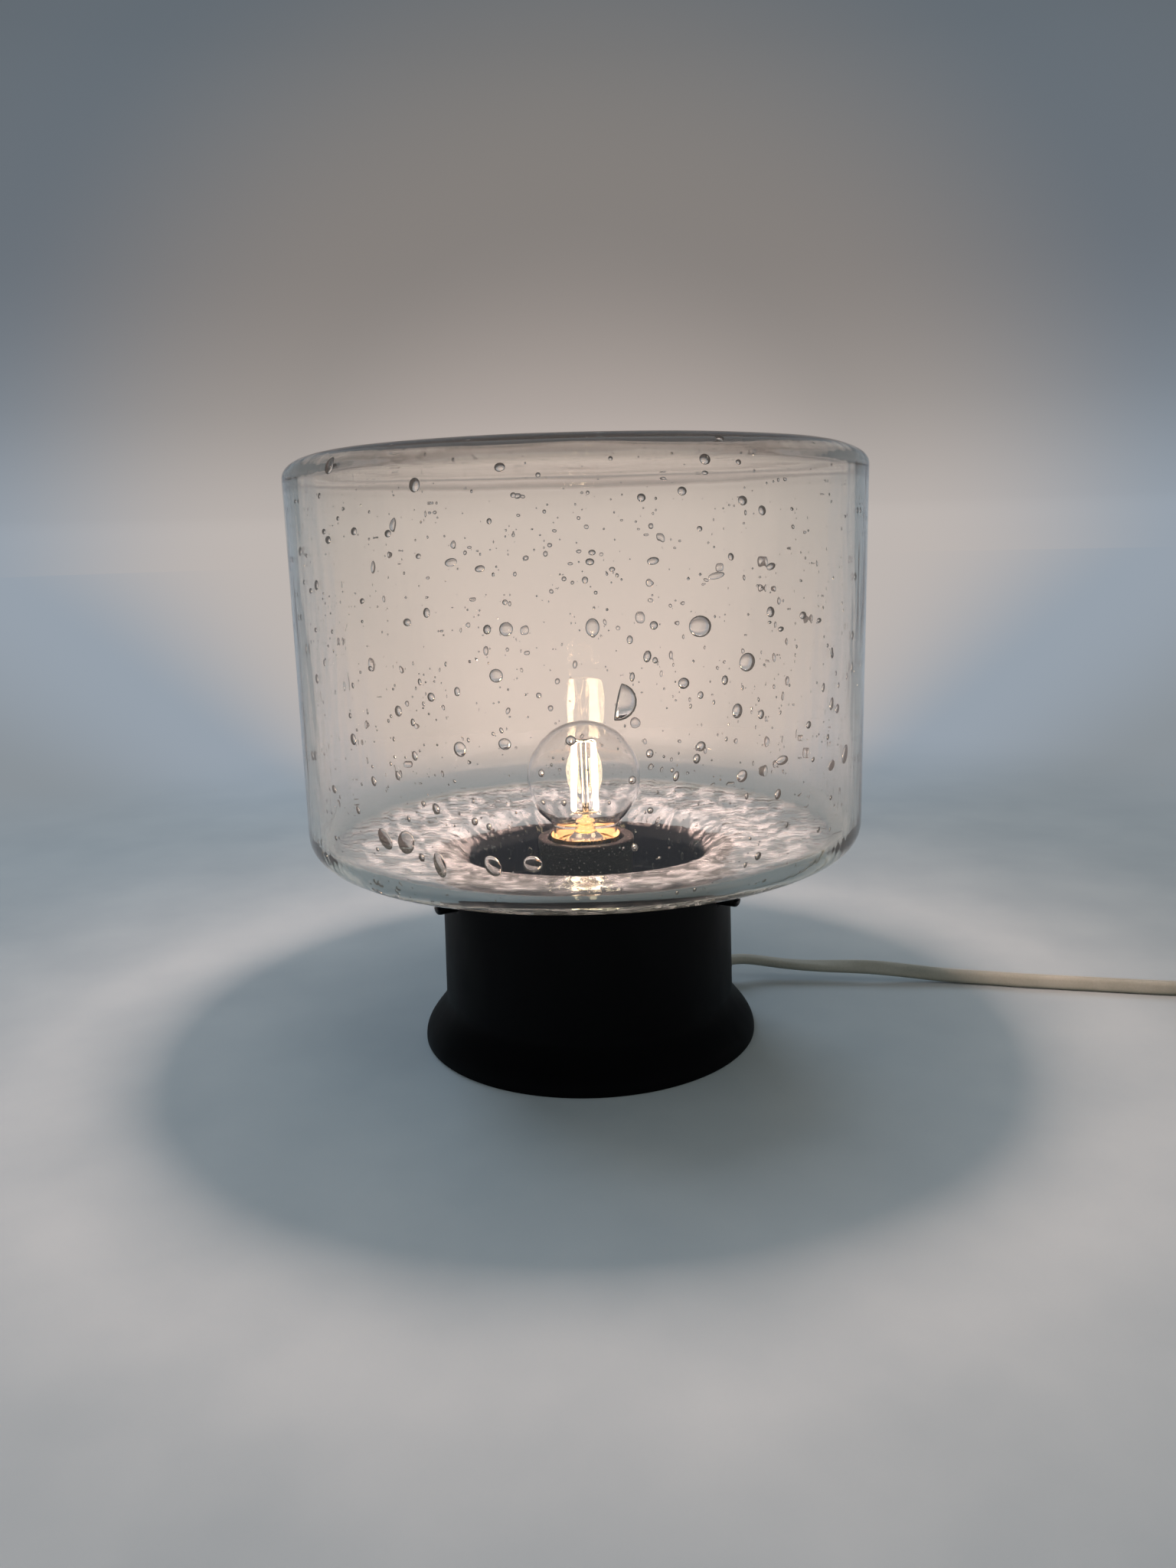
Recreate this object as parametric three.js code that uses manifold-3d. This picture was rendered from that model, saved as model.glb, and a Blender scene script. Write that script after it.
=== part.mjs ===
// Ceiling light of bubble glass, standing on its canopy: a blown glass drum whose neck is held by three
// screws in a flared sheet steel canopy, a moulded lamp holder on a steel bridge, a clear globe bulb and
// a flat mains cord with its plug. Millimetres, +Z up, the origin on the floor in the middle of the canopy.
import * as THREE from 'three';
import { mergeVertices } from 'three/addons/utils/BufferGeometryUtils.js';
import Module from 'manifold-3d';

const wasm = await Module();
wasm.setup();

// Fits
const clearance = 0.3; // between pieces that touch
const overrun = 2; // how far a cutting shape passes the faces that it cuts

// Canopy: a straight sheet wall on a flared foot
const canopyRadius = 57.6;
const canopySheet = 1.2;
const canopyHeight = 72;
const footRadius = 67.5;
const flareHeight = 19.5;

// Glass: a closed drum over a neck
const drumRadius = 108;
const drumHeight = 149.5;
const glassWall = 4.2;
const neckSpace = 4.9; // between the neck and the canopy wall
const plateLift = 7.9; // from the canopy's rim to the drum's lower edge

// Clamp screws
const screwDrop = 9.5; // of the screws under the canopy's rim
const screwRadius = 2;
const screwAzimuths = [-30, -150, 90].map(THREE.MathUtils.degToRad);

// Bridge, nipple and lamp holder
const bridgeHeight = 20;
const bridgeSheet = 1.5;
const nippleRadius = 5;
const nippleBore = 3.8;
const washerThickness = 1;
const holderRadius = 18.8;
const baseHeight = 23.6;
const skirtHeight = 34;
const sleeveRadius = 14;
const sleeveSheet = 0.5;
const sleeveLift = 3; // of the thread sleeve over the skirt's lower edge

// Bulb
const bulbLift = 2; // of the bulb's contact over the sleeve's lower edge
const capRadius = 13.1;
const capHeight = 30; // from the contact to the cap's upper edge
const globeRadius = 22.5;
const globeLift = 23; // of the globe's middle over the cap
const globeWall = 0.8;

// Cord: flat, with two cores, drawn on its edge
const cordWidth = 6.3;
const cordThickness = 3.8;
const entryHeight = 9.5; // of the cord where it passes the canopy wall
const entryAngle = THREE.MathUtils.degToRad(15);
const reliefLength = 23.1;
const reliefRadius = 4.3;

// Terminal block and cord clamp under the bridge
const cordLine = 22.2; // x of the cord at the clamp and of the middle of the block
const wireHeight = 11.5;

// Coil of the spare cord and plug
const coilMiddle = new THREE.Vector2(290, -33);
const coilOuter = 42.5; // radius of the cord's middle in the outer turns
const coilInner = 26;
const coilTurns = 7.25;
const tailLength = 40;
const plugThickness = 14;

// Worked out from the sizes above
const canopyBore = canopyRadius - canopySheet;
const screwHeight = canopyHeight - screwDrop;
const neckRadius = canopyBore - neckSpace;
const neckBore = neckRadius - glassWall;
const plateEdge = canopyHeight + plateLift;
const drumTop = plateEdge + drumHeight;
const bridgeTop = bridgeHeight + bridgeSheet;
const washerTop = bridgeTop + clearance + washerThickness;
const holderBottom = washerTop + clearance;
const skirtBottom = holderBottom + baseHeight + clearance;
const holderRim = skirtBottom + skirtHeight;
const sleeveBottom = skirtBottom + sleeveLift;
const bulbBottom = sleeveBottom + bulbLift;
const capTop = bulbBottom + capHeight;
const globeMiddle = capTop + globeLift;

const finishes = {
  blackLacquer: { color: 0x121212, roughness: 0.62, metalness: 0.2 },
  bubbleGlass: { color: 0xe6ece8, roughness: 0.04, metalness: 0, transparent: true, opacity: 0.3 },
  bulbGlass: { color: 0xf4f1e8, roughness: 0.02, metalness: 0, transparent: true, opacity: 0.3 },
  zincSteel: { color: 0xa9a9a2, roughness: 0.4, metalness: 1 },
  blackenedSteel: { color: 0x1c1c1c, roughness: 0.45, metalness: 0.7 },
  brass: { color: 0xb8924a, roughness: 0.35, metalness: 1 },
  nickel: { color: 0xc4c0b6, roughness: 0.3, metalness: 1 },
  bakelite: { color: 0x1b1918, roughness: 0.4, metalness: 0 },
  porcelain: { color: 0xe9e5db, roughness: 0.35, metalness: 0 },
  nylon: { color: 0xd9d6cc, roughness: 0.5, metalness: 0 },
  ivoryPlastic: { color: 0xc9c6b6, roughness: 0.5, metalness: 0 },
  brownWire: { color: 0x5a3521, roughness: 0.5, metalness: 0 },
  blueWire: { color: 0x2b4f86, roughness: 0.5, metalness: 0 },
  blackGlass: { color: 0x111014, roughness: 0.2, metalness: 0 },
  phosphor: { color: 0xf3c765, roughness: 0.6, metalness: 0, emissive: 0xffc46a, emissiveIntensity: 1 },
  circuitBoard: { color: 0xd8d6cd, roughness: 0.6, metalness: 0 },
  greyTie: { color: 0x8b8b84, roughness: 0.7, metalness: 0 },
};

const light = new THREE.Group();

function put(name, geometry, finish, parent = light) {
  const mesh = new THREE.Mesh(geometry, new THREE.MeshStandardMaterial(finishes[finish]));
  mesh.name = name;
  parent.add(mesh);
  return mesh;
}

// Solids for cutting and joining

function solidOf(geometry) {
  const bare = new THREE.BufferGeometry();
  bare.setAttribute('position', geometry.getAttribute('position').clone());
  if (geometry.index) bare.setIndex(geometry.index.clone());
  const merged = mergeVertices(bare);
  const corners = merged.index.array;
  const kept = [];
  for (let i = 0; i < corners.length; i += 3) {
    const [a, b, c] = [corners[i], corners[i + 1], corners[i + 2]];
    if (a !== b && b !== c && c !== a) kept.push(a, b, c);
  }
  return new wasm.Manifold(new wasm.Mesh({
    numProp: 3,
    vertProperties: Float32Array.from(merged.getAttribute('position').array),
    triVerts: Uint32Array.from(kept),
  }));
}

function geometryOf(solid) {
  const mesh = solid.getMesh();
  const geometry = new THREE.BufferGeometry();
  geometry.setAttribute('position', new THREE.BufferAttribute(Float32Array.from(mesh.vertProperties), 3));
  geometry.setIndex(new THREE.BufferAttribute(Uint32Array.from(mesh.triVerts), 1));
  return geometry;
}

function cut(body, ...tools) {
  return geometryOf(tools.reduce((solid, tool) => solid.subtract(solidOf(tool)), solidOf(body)));
}

function join(first, ...others) {
  return geometryOf(others.reduce((solid, other) => solid.add(solidOf(other)), solidOf(first)));
}

function common(a, b) {
  return geometryOf(solidOf(a).intersect(solidOf(b)));
}

// Shapes turned about Z, from points (radius, height) that run with the solid on their left
function turned(points, segments) {
  const profile = points.map(([radius, height]) => new THREE.Vector2(radius, height));
  return new THREE.LatheGeometry(profile, segments).rotateX(Math.PI / 2);
}

function ring(inner, outer, bottom, top, segments) {
  return turned([[inner, bottom], [outer, bottom], [outer, top], [inner, top], [inner, bottom]], segments);
}

function rod(radius, bottom, top, segments) {
  return turned([[0, bottom], [radius, bottom], [radius, top], [0, top]], segments);
}

// Points of an elliptical arc round (radius, height), from one angle to another in degrees
function arc(radius, height, run, rise, from, to, steps) {
  return Array.from({ length: steps + 1 }, (_, i) => {
    const angle = THREE.MathUtils.degToRad(from + (to - from) * i / steps);
    return [radius + run * Math.cos(angle), height + rise * Math.sin(angle)];
  });
}

function block(x, y, z) {
  const size = [x, y, z].map(([low, high]) => high - low);
  const middle = [x, y, z].map(([low, high]) => (low + high) / 2);
  return new THREE.BoxGeometry(...size).translate(...middle);
}

// A turned shape laid with its axis along +X
const alongX = (geometry) => geometry.rotateY(Math.PI / 2);

// An outline in (x, z), pulled along Y over the given width, centred on y
function panel(points, width, y = 0) {
  const outline = new THREE.Shape(points.map(([x, z]) => new THREE.Vector2(x, z)));
  const geometry = new THREE.ExtrudeGeometry(outline, { depth: width, bevelEnabled: false });
  return geometry.rotateX(Math.PI / 2).translate(0, y + width / 2, 0);
}

// Canopy

const flareRadius = (share) =>
  canopyRadius + (footRadius - canopyRadius) * (1 + Math.cos(Math.PI * share)) / 2;

// The way of the cord through the wall: the relief's inner end and its direction
const entryStart = new THREE.Vector3(41, 37.8, entryHeight);

function entryRod(radius, from, to) {
  const axis = alongX(rod(radius, from, to, 20)).rotateZ(entryAngle);
  return axis.translate(entryStart.x, entryStart.y, entryStart.z);
}

function canopyShell() {
  const hemWidth = 5;
  const footEdge = 1;
  const flareSteps = 7;
  const shares = Array.from({ length: flareSteps + 1 }, (_, i) => i / flareSteps);
  const heightAt = (share) => footEdge + (flareHeight - footEdge) * share;
  const outside = shares.map((share) => [flareRadius(share), heightAt(share)]);
  const inside = shares.toReversed().map((share) =>
    [flareRadius(share) - canopySheet, Math.max(heightAt(share), canopySheet)]);
  const hem = footRadius - hemWidth;
  const wall = turned([
    [hem, 0], [footRadius, 0], ...outside, [canopyRadius, canopyHeight], [canopyBore, canopyHeight],
    ...inside, [hem, canopySheet], [hem, 0],
  ], 48);
  const screwHoles = screwAzimuths.map((azimuth) =>
    alongX(rod(screwRadius + clearance, canopyBore - overrun, canopyRadius + overrun, 16))
      .rotateZ(azimuth).translate(0, 0, screwHeight));
  const cordHole = entryRod(reliefRadius + clearance, -overrun, reliefLength);
  return cut(wall, ...screwHoles, cordHole);
}

// Glass drum with its neck, of one piece

function glassShade() {
  const topThickness = 5;
  const neckDrop = 7.5; // of the neck's end under the screws
  const plateSag = 2.4; // of the lower plate towards the neck
  const topRun = 16.5;
  const topDrop = 6.5;
  const lowerCorner = 10.3;
  const shoulder = 8.2; // rounding of the outer side into the neck
  const neckEnd = screwHeight - neckDrop;
  const turn = neckRadius + shoulder;
  const shoulderTop = plateEdge - plateSag - shoulder;
  const inRadius = drumRadius - glassWall;
  const inTop = drumTop - topThickness;
  const inCorner = lowerCorner - glassWall / 2;
  const inShoulder = shoulder + glassWall;
  const wallTop = drumTop - topDrop;
  return turned([
    [0, inTop],
    ...arc(inRadius - topRun, wallTop - topThickness, topRun, topDrop, 90, 0, 4),
    ...arc(inRadius - inCorner, plateEdge + glassWall + inCorner, inCorner, inCorner, 0, -90, 3),
    ...arc(turn, shoulderTop, inShoulder, inShoulder, 90, 180, 5),
    [neckBore, neckEnd],
    [neckRadius, neckEnd],
    ...arc(turn, shoulderTop, shoulder, shoulder, 180, 90, 4),
    ...arc(drumRadius - lowerCorner, plateEdge + lowerCorner, lowerCorner, lowerCorner, -90, 0, 4),
    ...arc(drumRadius - topRun, wallTop, topRun, topDrop, 0, 90, 5),
    [0, drumTop],
  ], 48);
}

// One clamp screw with its soft tip and its nut, along +X from the light's axis

const tipStart = neckRadius + clearance;
const tipRadius = 1.4;
const tipLength = 2;

function screwTip() {
  const edge = 0.3;
  return alongX(turned([
    [0, tipStart], [tipRadius - edge, tipStart], [tipRadius, tipStart + edge],
    [tipRadius, tipStart + tipLength], [0, tipStart + tipLength],
  ], 12));
}

function clampScrew() {
  const tipBare = 1; // length of the tip that stands out of the screw
  const headRadius = 3;
  const headLength = 8.2;
  const headRound = 1.2;
  const slotWidth = 0.9;
  const slotDepth = 1.3;
  const start = tipStart + tipBare;
  const pocket = tipStart + tipLength + clearance;
  const headStart = canopyRadius + clearance;
  const headEnd = headStart + headLength;
  const screw = alongX(turned([
    [0, pocket], [tipRadius + clearance, pocket], [tipRadius + clearance, start], [screwRadius, start],
    [screwRadius, headStart], [headRadius, headStart],
    ...arc(headRadius - headRound, headEnd - headRound, headRound, headRound, 0, 90, 3),
    [0, headEnd],
  ], 16));
  const slot = block([headEnd - slotDepth, headEnd + overrun], [-headRadius - overrun, headRadius + overrun],
    [-slotWidth / 2, slotWidth / 2]);
  return cut(screw, slot);
}

function clampNut() {
  const nutWidth = 7; // across its flats
  const nutThickness = 2.1;
  const wallGap = 0.4; // of the flat nut to the round wall
  const end = canopyBore - wallGap;
  const corner = nutWidth / 2 / Math.cos(Math.PI / 6);
  const nut = rod(corner, end - nutThickness, end, 6);
  return alongX(cut(nut, rod(screwRadius + clearance, end - nutThickness - overrun, end + overrun, 12)));
}

function addClamps() {
  screwAzimuths.forEach((azimuth, i) => {
    const clamp = new THREE.Group();
    clamp.rotation.z = azimuth;
    clamp.position.z = screwHeight;
    light.add(clamp);
    put(`clamp_nut_${i + 1}`, clampNut(), 'zincSteel', clamp);
    put(`screw_tip_${i + 1}`, screwTip(), 'nylon', clamp);
    put(`clamp_screw_${i + 1}`, clampScrew(), 'blackenedSteel', clamp);
  });
}

// Bridge across the canopy, with what hangs under it

const clampScrewSpread = 11; // between the cord clamp's two screws
const clampScrewRadius = 1.4;
const clampPlace = 10.2; // y of the middle of the cord clamp
const clampScrewPlaces = [-clampScrewSpread / 2, clampScrewSpread / 2].map((x) => cordLine + x);

function mountingBridge() {
  const bridgeWidth = 30;
  const tabWidth = 16;
  const tabHeight = 15;
  const slotWidth = 5;
  const slotLength = 7; // between the middles of a slot's round ends
  const slotPlace = 42; // x of a slot's middle
  const reach = canopyBore - clearance;
  const inner = reach - bridgeSheet;
  const far = reach + overrun;
  const tabs = panel([
    [-far, bridgeHeight], [far, bridgeHeight], [far, bridgeHeight + tabHeight],
    [inner, bridgeHeight + tabHeight], [inner, bridgeTop], [-inner, bridgeTop],
    [-inner, bridgeHeight + tabHeight], [-far, bridgeHeight + tabHeight],
  ], tabWidth);
  const flat = block([-far, far], [-bridgeWidth / 2, bridgeWidth / 2], [bridgeHeight, bridgeTop]);
  const round = rod(reach, bridgeHeight - overrun, bridgeHeight + tabHeight + overrun, 96);
  const [low, high] = [bridgeHeight - overrun, bridgeTop + overrun];
  const slots = [-slotPlace, slotPlace].map((x) => join(
    block([x - slotLength / 2, x + slotLength / 2], [-slotWidth / 2, slotWidth / 2], [low, high]),
    ...[-slotLength / 2, slotLength / 2].map((end) =>
      rod(slotWidth / 2, low, high, 16).translate(x + end, 0, 0)),
  ));
  const screwHoles = clampScrewPlaces.map((x) =>
    rod(clampScrewRadius + clearance, low, high, 12).translate(x, clampPlace, 0));
  return cut(common(join(flat, tabs), round), rod(nippleRadius + clearance, low, high, 24), ...slots,
    ...screwHoles);
}

function addNipple() {
  const nutWidth = 14;
  const nutThickness = 2.8;
  const nutTop = bridgeHeight - clearance;
  const nippleDrop = 1.7; // of the nipple's end under its nut
  const nippleReach = 7.4; // of the nipple into the holder's base
  const washerRadius = 9;
  const hole = nippleRadius + clearance;
  put('threaded_nipple', ring(nippleBore, nippleRadius, nutTop - nutThickness - nippleDrop,
    holderBottom + nippleReach, 24), 'zincSteel');
  const nut = rod(nutWidth / 2 / Math.cos(Math.PI / 6), nutTop - nutThickness, nutTop, 6);
  put('nipple_nut', cut(nut, rod(hole, nutTop - nutThickness - overrun, nutTop + overrun, 24)), 'zincSteel');
  put('nipple_washer', ring(hole, washerRadius, bridgeTop + clearance, washerTop, 20), 'zincSteel');
}

// Lamp holder: base, porcelain insert with two contacts, skirt and thread sleeve

const baseWall = 2.1;
const skirtLip = 1.2; // of the skirt's inner lip, under the thread sleeve
const insertTop = skirtBottom - clearance - clearance;

function holderBase() {
  const footRim = 12; // radius of the flat under the base
  const chamferRun = 5.5;
  const chamferRise = 4;
  const curveRise = 6;
  const floor = 4.5;
  const inside = holderRadius - baseWall;
  const bottom = holderBottom;
  const hole = nippleRadius + clearance;
  return turned([
    [hole, bottom], [footRim, bottom], [footRim + chamferRun, bottom + chamferRise],
    [holderRadius, bottom + chamferRise + curveRise], [holderRadius, bottom + baseHeight],
    [inside, bottom + baseHeight], [inside, bottom + chamferRise + curveRise],
    [footRim, bottom + floor], [hole, bottom + floor], [hole, bottom],
  ], 32);
}

function holderInsert() {
  const insertHeight = 12;
  const edge = 1;
  const radius = holderRadius - baseWall - clearance;
  const bottom = insertTop - insertHeight;
  return turned([
    [0, bottom], [radius - edge, bottom], [radius, bottom + edge], [radius, insertTop], [0, insertTop],
  ], 24);
}

function holderContacts() {
  const strip = 0.6;
  const width = 5;
  const foot = 8; // length of a contact's foot on the insert
  const middleReach = 3; // of the spring past the middle
  const low = insertTop + clearance;
  const high = bulbBottom - clearance;
  const middle = panel([
    [-foot, low], [0, low], [middleReach, high - strip], [middleReach, high], [0, high],
    [-strip, low + strip], [-foot, low + strip],
  ], width);
  put('centre_contact', middle, 'brass');
  const sideFoot = 5;
  const sideEnd = sleeveRadius - skirtLip - clearance * 2;
  const side = panel([
    [sideEnd - sideFoot, low], [sideEnd, low], [sideEnd, sleeveBottom - clearance],
    [sideEnd - strip, sleeveBottom - clearance], [sideEnd - strip, low + strip],
    [sideEnd - sideFoot, low + strip],
  ], width);
  put('side_contact', side, 'brass');
}

function holderSkirt() {
  const rimHeight = 4;
  const rimStep = 0.6; // of the rim outside the skirt
  const rimEdge = 0.8;
  const mouth = 15.6; // radius of the widened mouth
  const mouthDepth = 4;
  const bore = sleeveRadius + clearance;
  const lipTop = sleeveBottom - clearance;
  return turned([
    [sleeveRadius - skirtLip, skirtBottom], [holderRadius, skirtBottom],
    [holderRadius, holderRim - rimHeight - rimStep], [holderRadius + rimStep, holderRim - rimHeight],
    [holderRadius + rimStep, holderRim - rimEdge], [holderRadius + rimStep - rimEdge, holderRim],
    [mouth, holderRim], [mouth, holderRim - mouthDepth], [bore, holderRim - mouthDepth - rimEdge],
    [bore, lipTop], [sleeveRadius - skirtLip, lipTop], [sleeveRadius - skirtLip, skirtBottom],
  ], 36);
}

function addHolder() {
  const sleeveDrop = 5; // of the sleeve's upper edge under the rim
  put('holder_base', holderBase(), 'bakelite');
  put('holder_insert', holderInsert(), 'porcelain');
  holderContacts();
  put('holder_skirt', holderSkirt(), 'bakelite');
  put('thread_sleeve', ring(sleeveRadius - sleeveSheet, sleeveRadius, sleeveBottom,
    holderRim - sleeveDrop, 24), 'brass');
}

// Bulb: contact, insulator, screw cap, driver, stem, wires, filaments and globe

const contactHeight = 1.5;
const insulatorHeight = 3.6;
const capSheet = 0.6;
const collarHeight = 4.2;
const globeNeck = 12.4;
const neckSeat = 4.2; // of the globe's neck in the cap's collar
const filamentCount = 4;
const filamentBottom = 92;
const filamentTop = 119;
const filamentSpread = 6.5; // of a filament's lower end from the axis
const filamentLean = 1; // of its upper end towards the axis
const postRadius = 1.2;

function bulbContact() {
  const radius = 4.8;
  const crown = 0.5;
  return turned([
    [0, bulbBottom], [radius - crown, bulbBottom], [radius, bulbBottom + crown],
    [radius, bulbBottom + contactHeight], [0, bulbBottom + contactHeight],
  ], 24);
}

function capInsulator() {
  const lowRadius = 6;
  const highRadius = 9.6;
  const bottom = bulbBottom + contactHeight + clearance;
  return turned([
    [0, bottom], [lowRadius, bottom], [highRadius, bottom + insulatorHeight - capSheet],
    [highRadius, bottom + insulatorHeight], [0, bottom + insulatorHeight],
  ], 24);
}

function bulbCap() {
  const threadDepth = 0.7;
  const threadPitch = 3.6;
  const threadTurns = 4;
  const shoulder = 2.4;
  const collarFlare = 1.1;
  const bottom = bulbBottom + contactHeight + clearance + insulatorHeight + clearance;
  const root = capRadius - threadDepth;
  const inside = root - capSheet;
  const threadBottom = bottom + shoulder;
  const crests = Array.from({ length: threadTurns * 2 + 1 }, (_, i) =>
    [i % 2 ? capRadius : root, threadBottom + i * threadPitch / 2]);
  const collar = capTop - collarHeight;
  return turned([
    [inside - shoulder, bottom], [root - shoulder, bottom], ...crests, [capRadius, collar],
    [capRadius + collarFlare, capTop - collarFlare], [capRadius + collarFlare, capTop],
    [globeNeck + clearance, capTop], [globeNeck + clearance, collar - clearance],
    [inside, collar - clearance - capSheet], [inside, threadBottom],
    [inside - shoulder, bottom + capSheet], [inside - shoulder, bottom],
  ], 24);
}

// A small upright board in the cap, over the insulator
function ledDriver() {
  const boardWidth = 14;
  const boardThickness = 1.6;
  const boardHeight = 15;
  const bottom = bulbBottom + contactHeight + insulatorHeight + clearance * 3;
  return block([-boardWidth / 2, boardWidth / 2], [-boardThickness / 2, boardThickness / 2],
    [bottom, bottom + boardHeight]);
}

function bulbGlobe() {
  const seat = capTop - neckSeat;
  const joinAngle = -52; // where the neck runs into the globe
  const neckStraight = 0.8; // of the neck over the cap
  const neckCurve = (offset) => {
    const radius = globeRadius - offset;
    const angle = THREE.MathUtils.degToRad(joinAngle);
    const end = new THREE.Vector2(radius * Math.cos(angle), globeMiddle + radius * Math.sin(angle));
    const start = new THREE.Vector2(globeNeck - offset, capTop + neckStraight);
    const bend = new THREE.Vector2(start.x, end.y - (end.x - start.x) / Math.tan(-angle));
    return new THREE.QuadraticBezierCurve(start, bend, end).getPoints(3).slice(0, -1)
      .map((point) => [point.x, point.y]);
  };
  const sphere = (offset) =>
    arc(0, globeMiddle, globeRadius - offset, globeRadius - offset, joinAngle, 90, 9).slice(0, -1);
  return turned([
    [0, globeMiddle + globeRadius - globeWall], ...sphere(globeWall).toReversed(),
    ...neckCurve(globeWall).toReversed(), [globeNeck - globeWall, seat], [globeNeck, seat],
    ...neckCurve(0), ...sphere(0), [0, globeMiddle + globeRadius],
  ], 32);
}

function bulbStem() {
  const flareHeightInside = 1;
  const tubeRadius = 4.2;
  const coneRise = 5;
  const tubeRise = 5;
  const postShoulder = 2;
  const bottom = capTop - neckSeat + clearance;
  const tubeTop = bottom + coneRise + tubeRise;
  const flare = globeNeck - globeWall - clearance;
  return turned([
    [0, bottom], [flare, bottom], [flare, bottom + flareHeightInside], [tubeRadius, bottom + coneRise],
    [tubeRadius, tubeTop - postShoulder], [postRadius, tubeTop], [postRadius, filamentTop - postRadius],
    [0, filamentTop],
  ], 16);
}

// A straight round piece between two points
function strut(from, to, radius, sides) {
  const length = from.distanceTo(to);
  const upright = rod(radius, 0, length, sides);
  const turn = new THREE.Quaternion().setFromUnitVectors(
    new THREE.Vector3(0, 0, 1), to.clone().sub(from).normalize());
  return upright.applyQuaternion(turn).translate(from.x, from.y, from.z);
}

// Four light strips between a wire spider round the post and another over its tip
function addFilaments() {
  const stripRadius = 0.9;
  const wireRadius = 0.35;
  const wireRise = 1.2;
  const hubHeight = 0.8;
  const upper = filamentSpread - filamentLean;
  const hub = postRadius + clearance;
  const lowHub = filamentBottom - wireRise - hubHeight;
  const highHub = filamentTop + clearance;
  const lowWires = [];
  const highWires = [];
  for (let i = 0; i < filamentCount; i += 1) {
    const angle = (i + 0.5) * 2 * Math.PI / filamentCount;
    const at = (radius, height) =>
      new THREE.Vector3(radius * Math.cos(angle), radius * Math.sin(angle), height);
    put(`led_filament_${i + 1}`, strut(at(filamentSpread, filamentBottom), at(upper, filamentTop),
      stripRadius, 8), 'phosphor');
    lowWires.push(strut(at(hub + wireRadius, lowHub + hubHeight / 2),
      at(filamentSpread, filamentBottom - wireRadius - clearance), wireRadius, 6));
    highWires.push(strut(at(0, highHub + hubHeight / 2),
      at(upper, filamentTop + wireRadius + clearance), wireRadius, 6));
  }
  put('lower_wires', join(ring(hub, hub + wireRadius * 2, lowHub, lowHub + hubHeight, 16), ...lowWires),
    'nickel');
  put('upper_wires', join(rod(postRadius, highHub, highHub + hubHeight, 12), ...highWires), 'nickel');
}

function addBulb() {
  put('bulb_contact', bulbContact(), 'brass');
  put('cap_insulator', capInsulator(), 'blackGlass');
  put('bulb_cap', bulbCap(), 'nickel');
  put('led_driver', ledDriver(), 'circuitBoard');
  put('bulb_globe', bulbGlobe(), 'bulbGlass');
  put('bulb_stem', bulbStem(), 'bulbGlass');
  addFilaments();
}

// Wiring under the bridge

const blockWidth = 17;
const blockDepth = 17;
const blockBack = 5; // y of the face that the cord meets
const blockBottom = 8;
const poleSpread = 8;
const wireRadius = 1.1;
const poles = [-poleSpread / 2, poleSpread / 2].map((x) => cordLine + x);

function terminalBlock() {
  const grooveWidth = 1.4;
  const grooveDepth = 2.5;
  const boreDepth = 3;
  const front = blockBack - blockDepth;
  const body = block([cordLine - blockWidth / 2, cordLine + blockWidth / 2], [front, blockBack],
    [blockBottom, bridgeHeight - clearance]);
  const groove = block([cordLine - grooveWidth / 2, cordLine + grooveWidth / 2],
    [front - overrun, blockBack + overrun], [blockBottom - overrun, blockBottom + grooveDepth]);
  const bores = poles.map((x) =>
    rod(wireRadius + clearance, 0, boreDepth + overrun, 12).rotateX(-Math.PI / 2)
      .translate(x, front - overrun, wireHeight));
  return cut(body, groove, ...bores);
}

function addTerminalScrews() {
  const headRadius = 1.7;
  const headHeight = 1.3;
  const edgeSpace = 3.8; // from a face of the block to a screw
  const top = blockBottom - clearance;
  const rows = [blockBack - edgeSpace, blockBack - blockDepth + edgeSpace];
  const places = poles.flatMap((x) => rows.map((y) => [x, y]));
  places.forEach(([x, y], i) => {
    put(`terminal_screw_${i + 1}`, rod(headRadius, top - headHeight, top, 10), 'zincSteel')
      .position.set(x, y, 0);
  });
}

function cordClamp() {
  const clampDepth = 6;
  const clampEdge = 3; // outside each screw
  const clampBottom = 7.4;
  const half = clampScrewSpread / 2 + clampEdge;
  const body = block([cordLine - half, cordLine + half],
    [clampPlace - clampDepth / 2, clampPlace + clampDepth / 2], [clampBottom, bridgeHeight - clearance]);
  const halfThickness = cordThickness / 2 + clearance;
  const halfWidth = cordWidth / 2 + clearance;
  const way = block([cordLine - halfThickness, cordLine + halfThickness],
    [clampPlace - clampDepth, clampPlace + clampDepth], [wireHeight - halfWidth, wireHeight + halfWidth]);
  const holes = clampScrewPlaces.map((x) =>
    rod(clampScrewRadius + clearance, clampBottom - overrun, bridgeHeight + overrun, 12)
      .translate(x, clampPlace, 0));
  put('cord_clamp', cut(body, way, ...holes), 'nylon');
  const headRadius = 2.6;
  const headHeight = 1.8;
  const head = clampBottom - clearance;
  clampScrewPlaces.forEach((x, i) => {
    put(`cord_clamp_screw_${i + 1}`, turned([
      [0, head - headHeight], [headRadius, head - headHeight], [headRadius, head],
      [clampScrewRadius, head], [clampScrewRadius, bridgeTop], [0, bridgeTop],
    ], 12), 'zincSteel').position.set(x, clampPlace, 0);
  });
}

function tubeAlong(points, section, steps) {
  const path = new THREE.CatmullRomCurve3(points.map((point) => new THREE.Vector3(...point)), false,
    'centripetal');
  return new THREE.ExtrudeGeometry(section, { steps, extrudePath: path, bevelEnabled: false });
}

// A round or oval section, its long side upright where the path lies level
function ovalSection(upright, level, sides) {
  const points = Array.from({ length: sides }, (_, i) => {
    const angle = (i + 0.5) * 2 * Math.PI / sides;
    return new THREE.Vector2(upright / 2 * Math.cos(angle), level / 2 * Math.sin(angle));
  });
  return new THREE.Shape(points);
}

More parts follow.
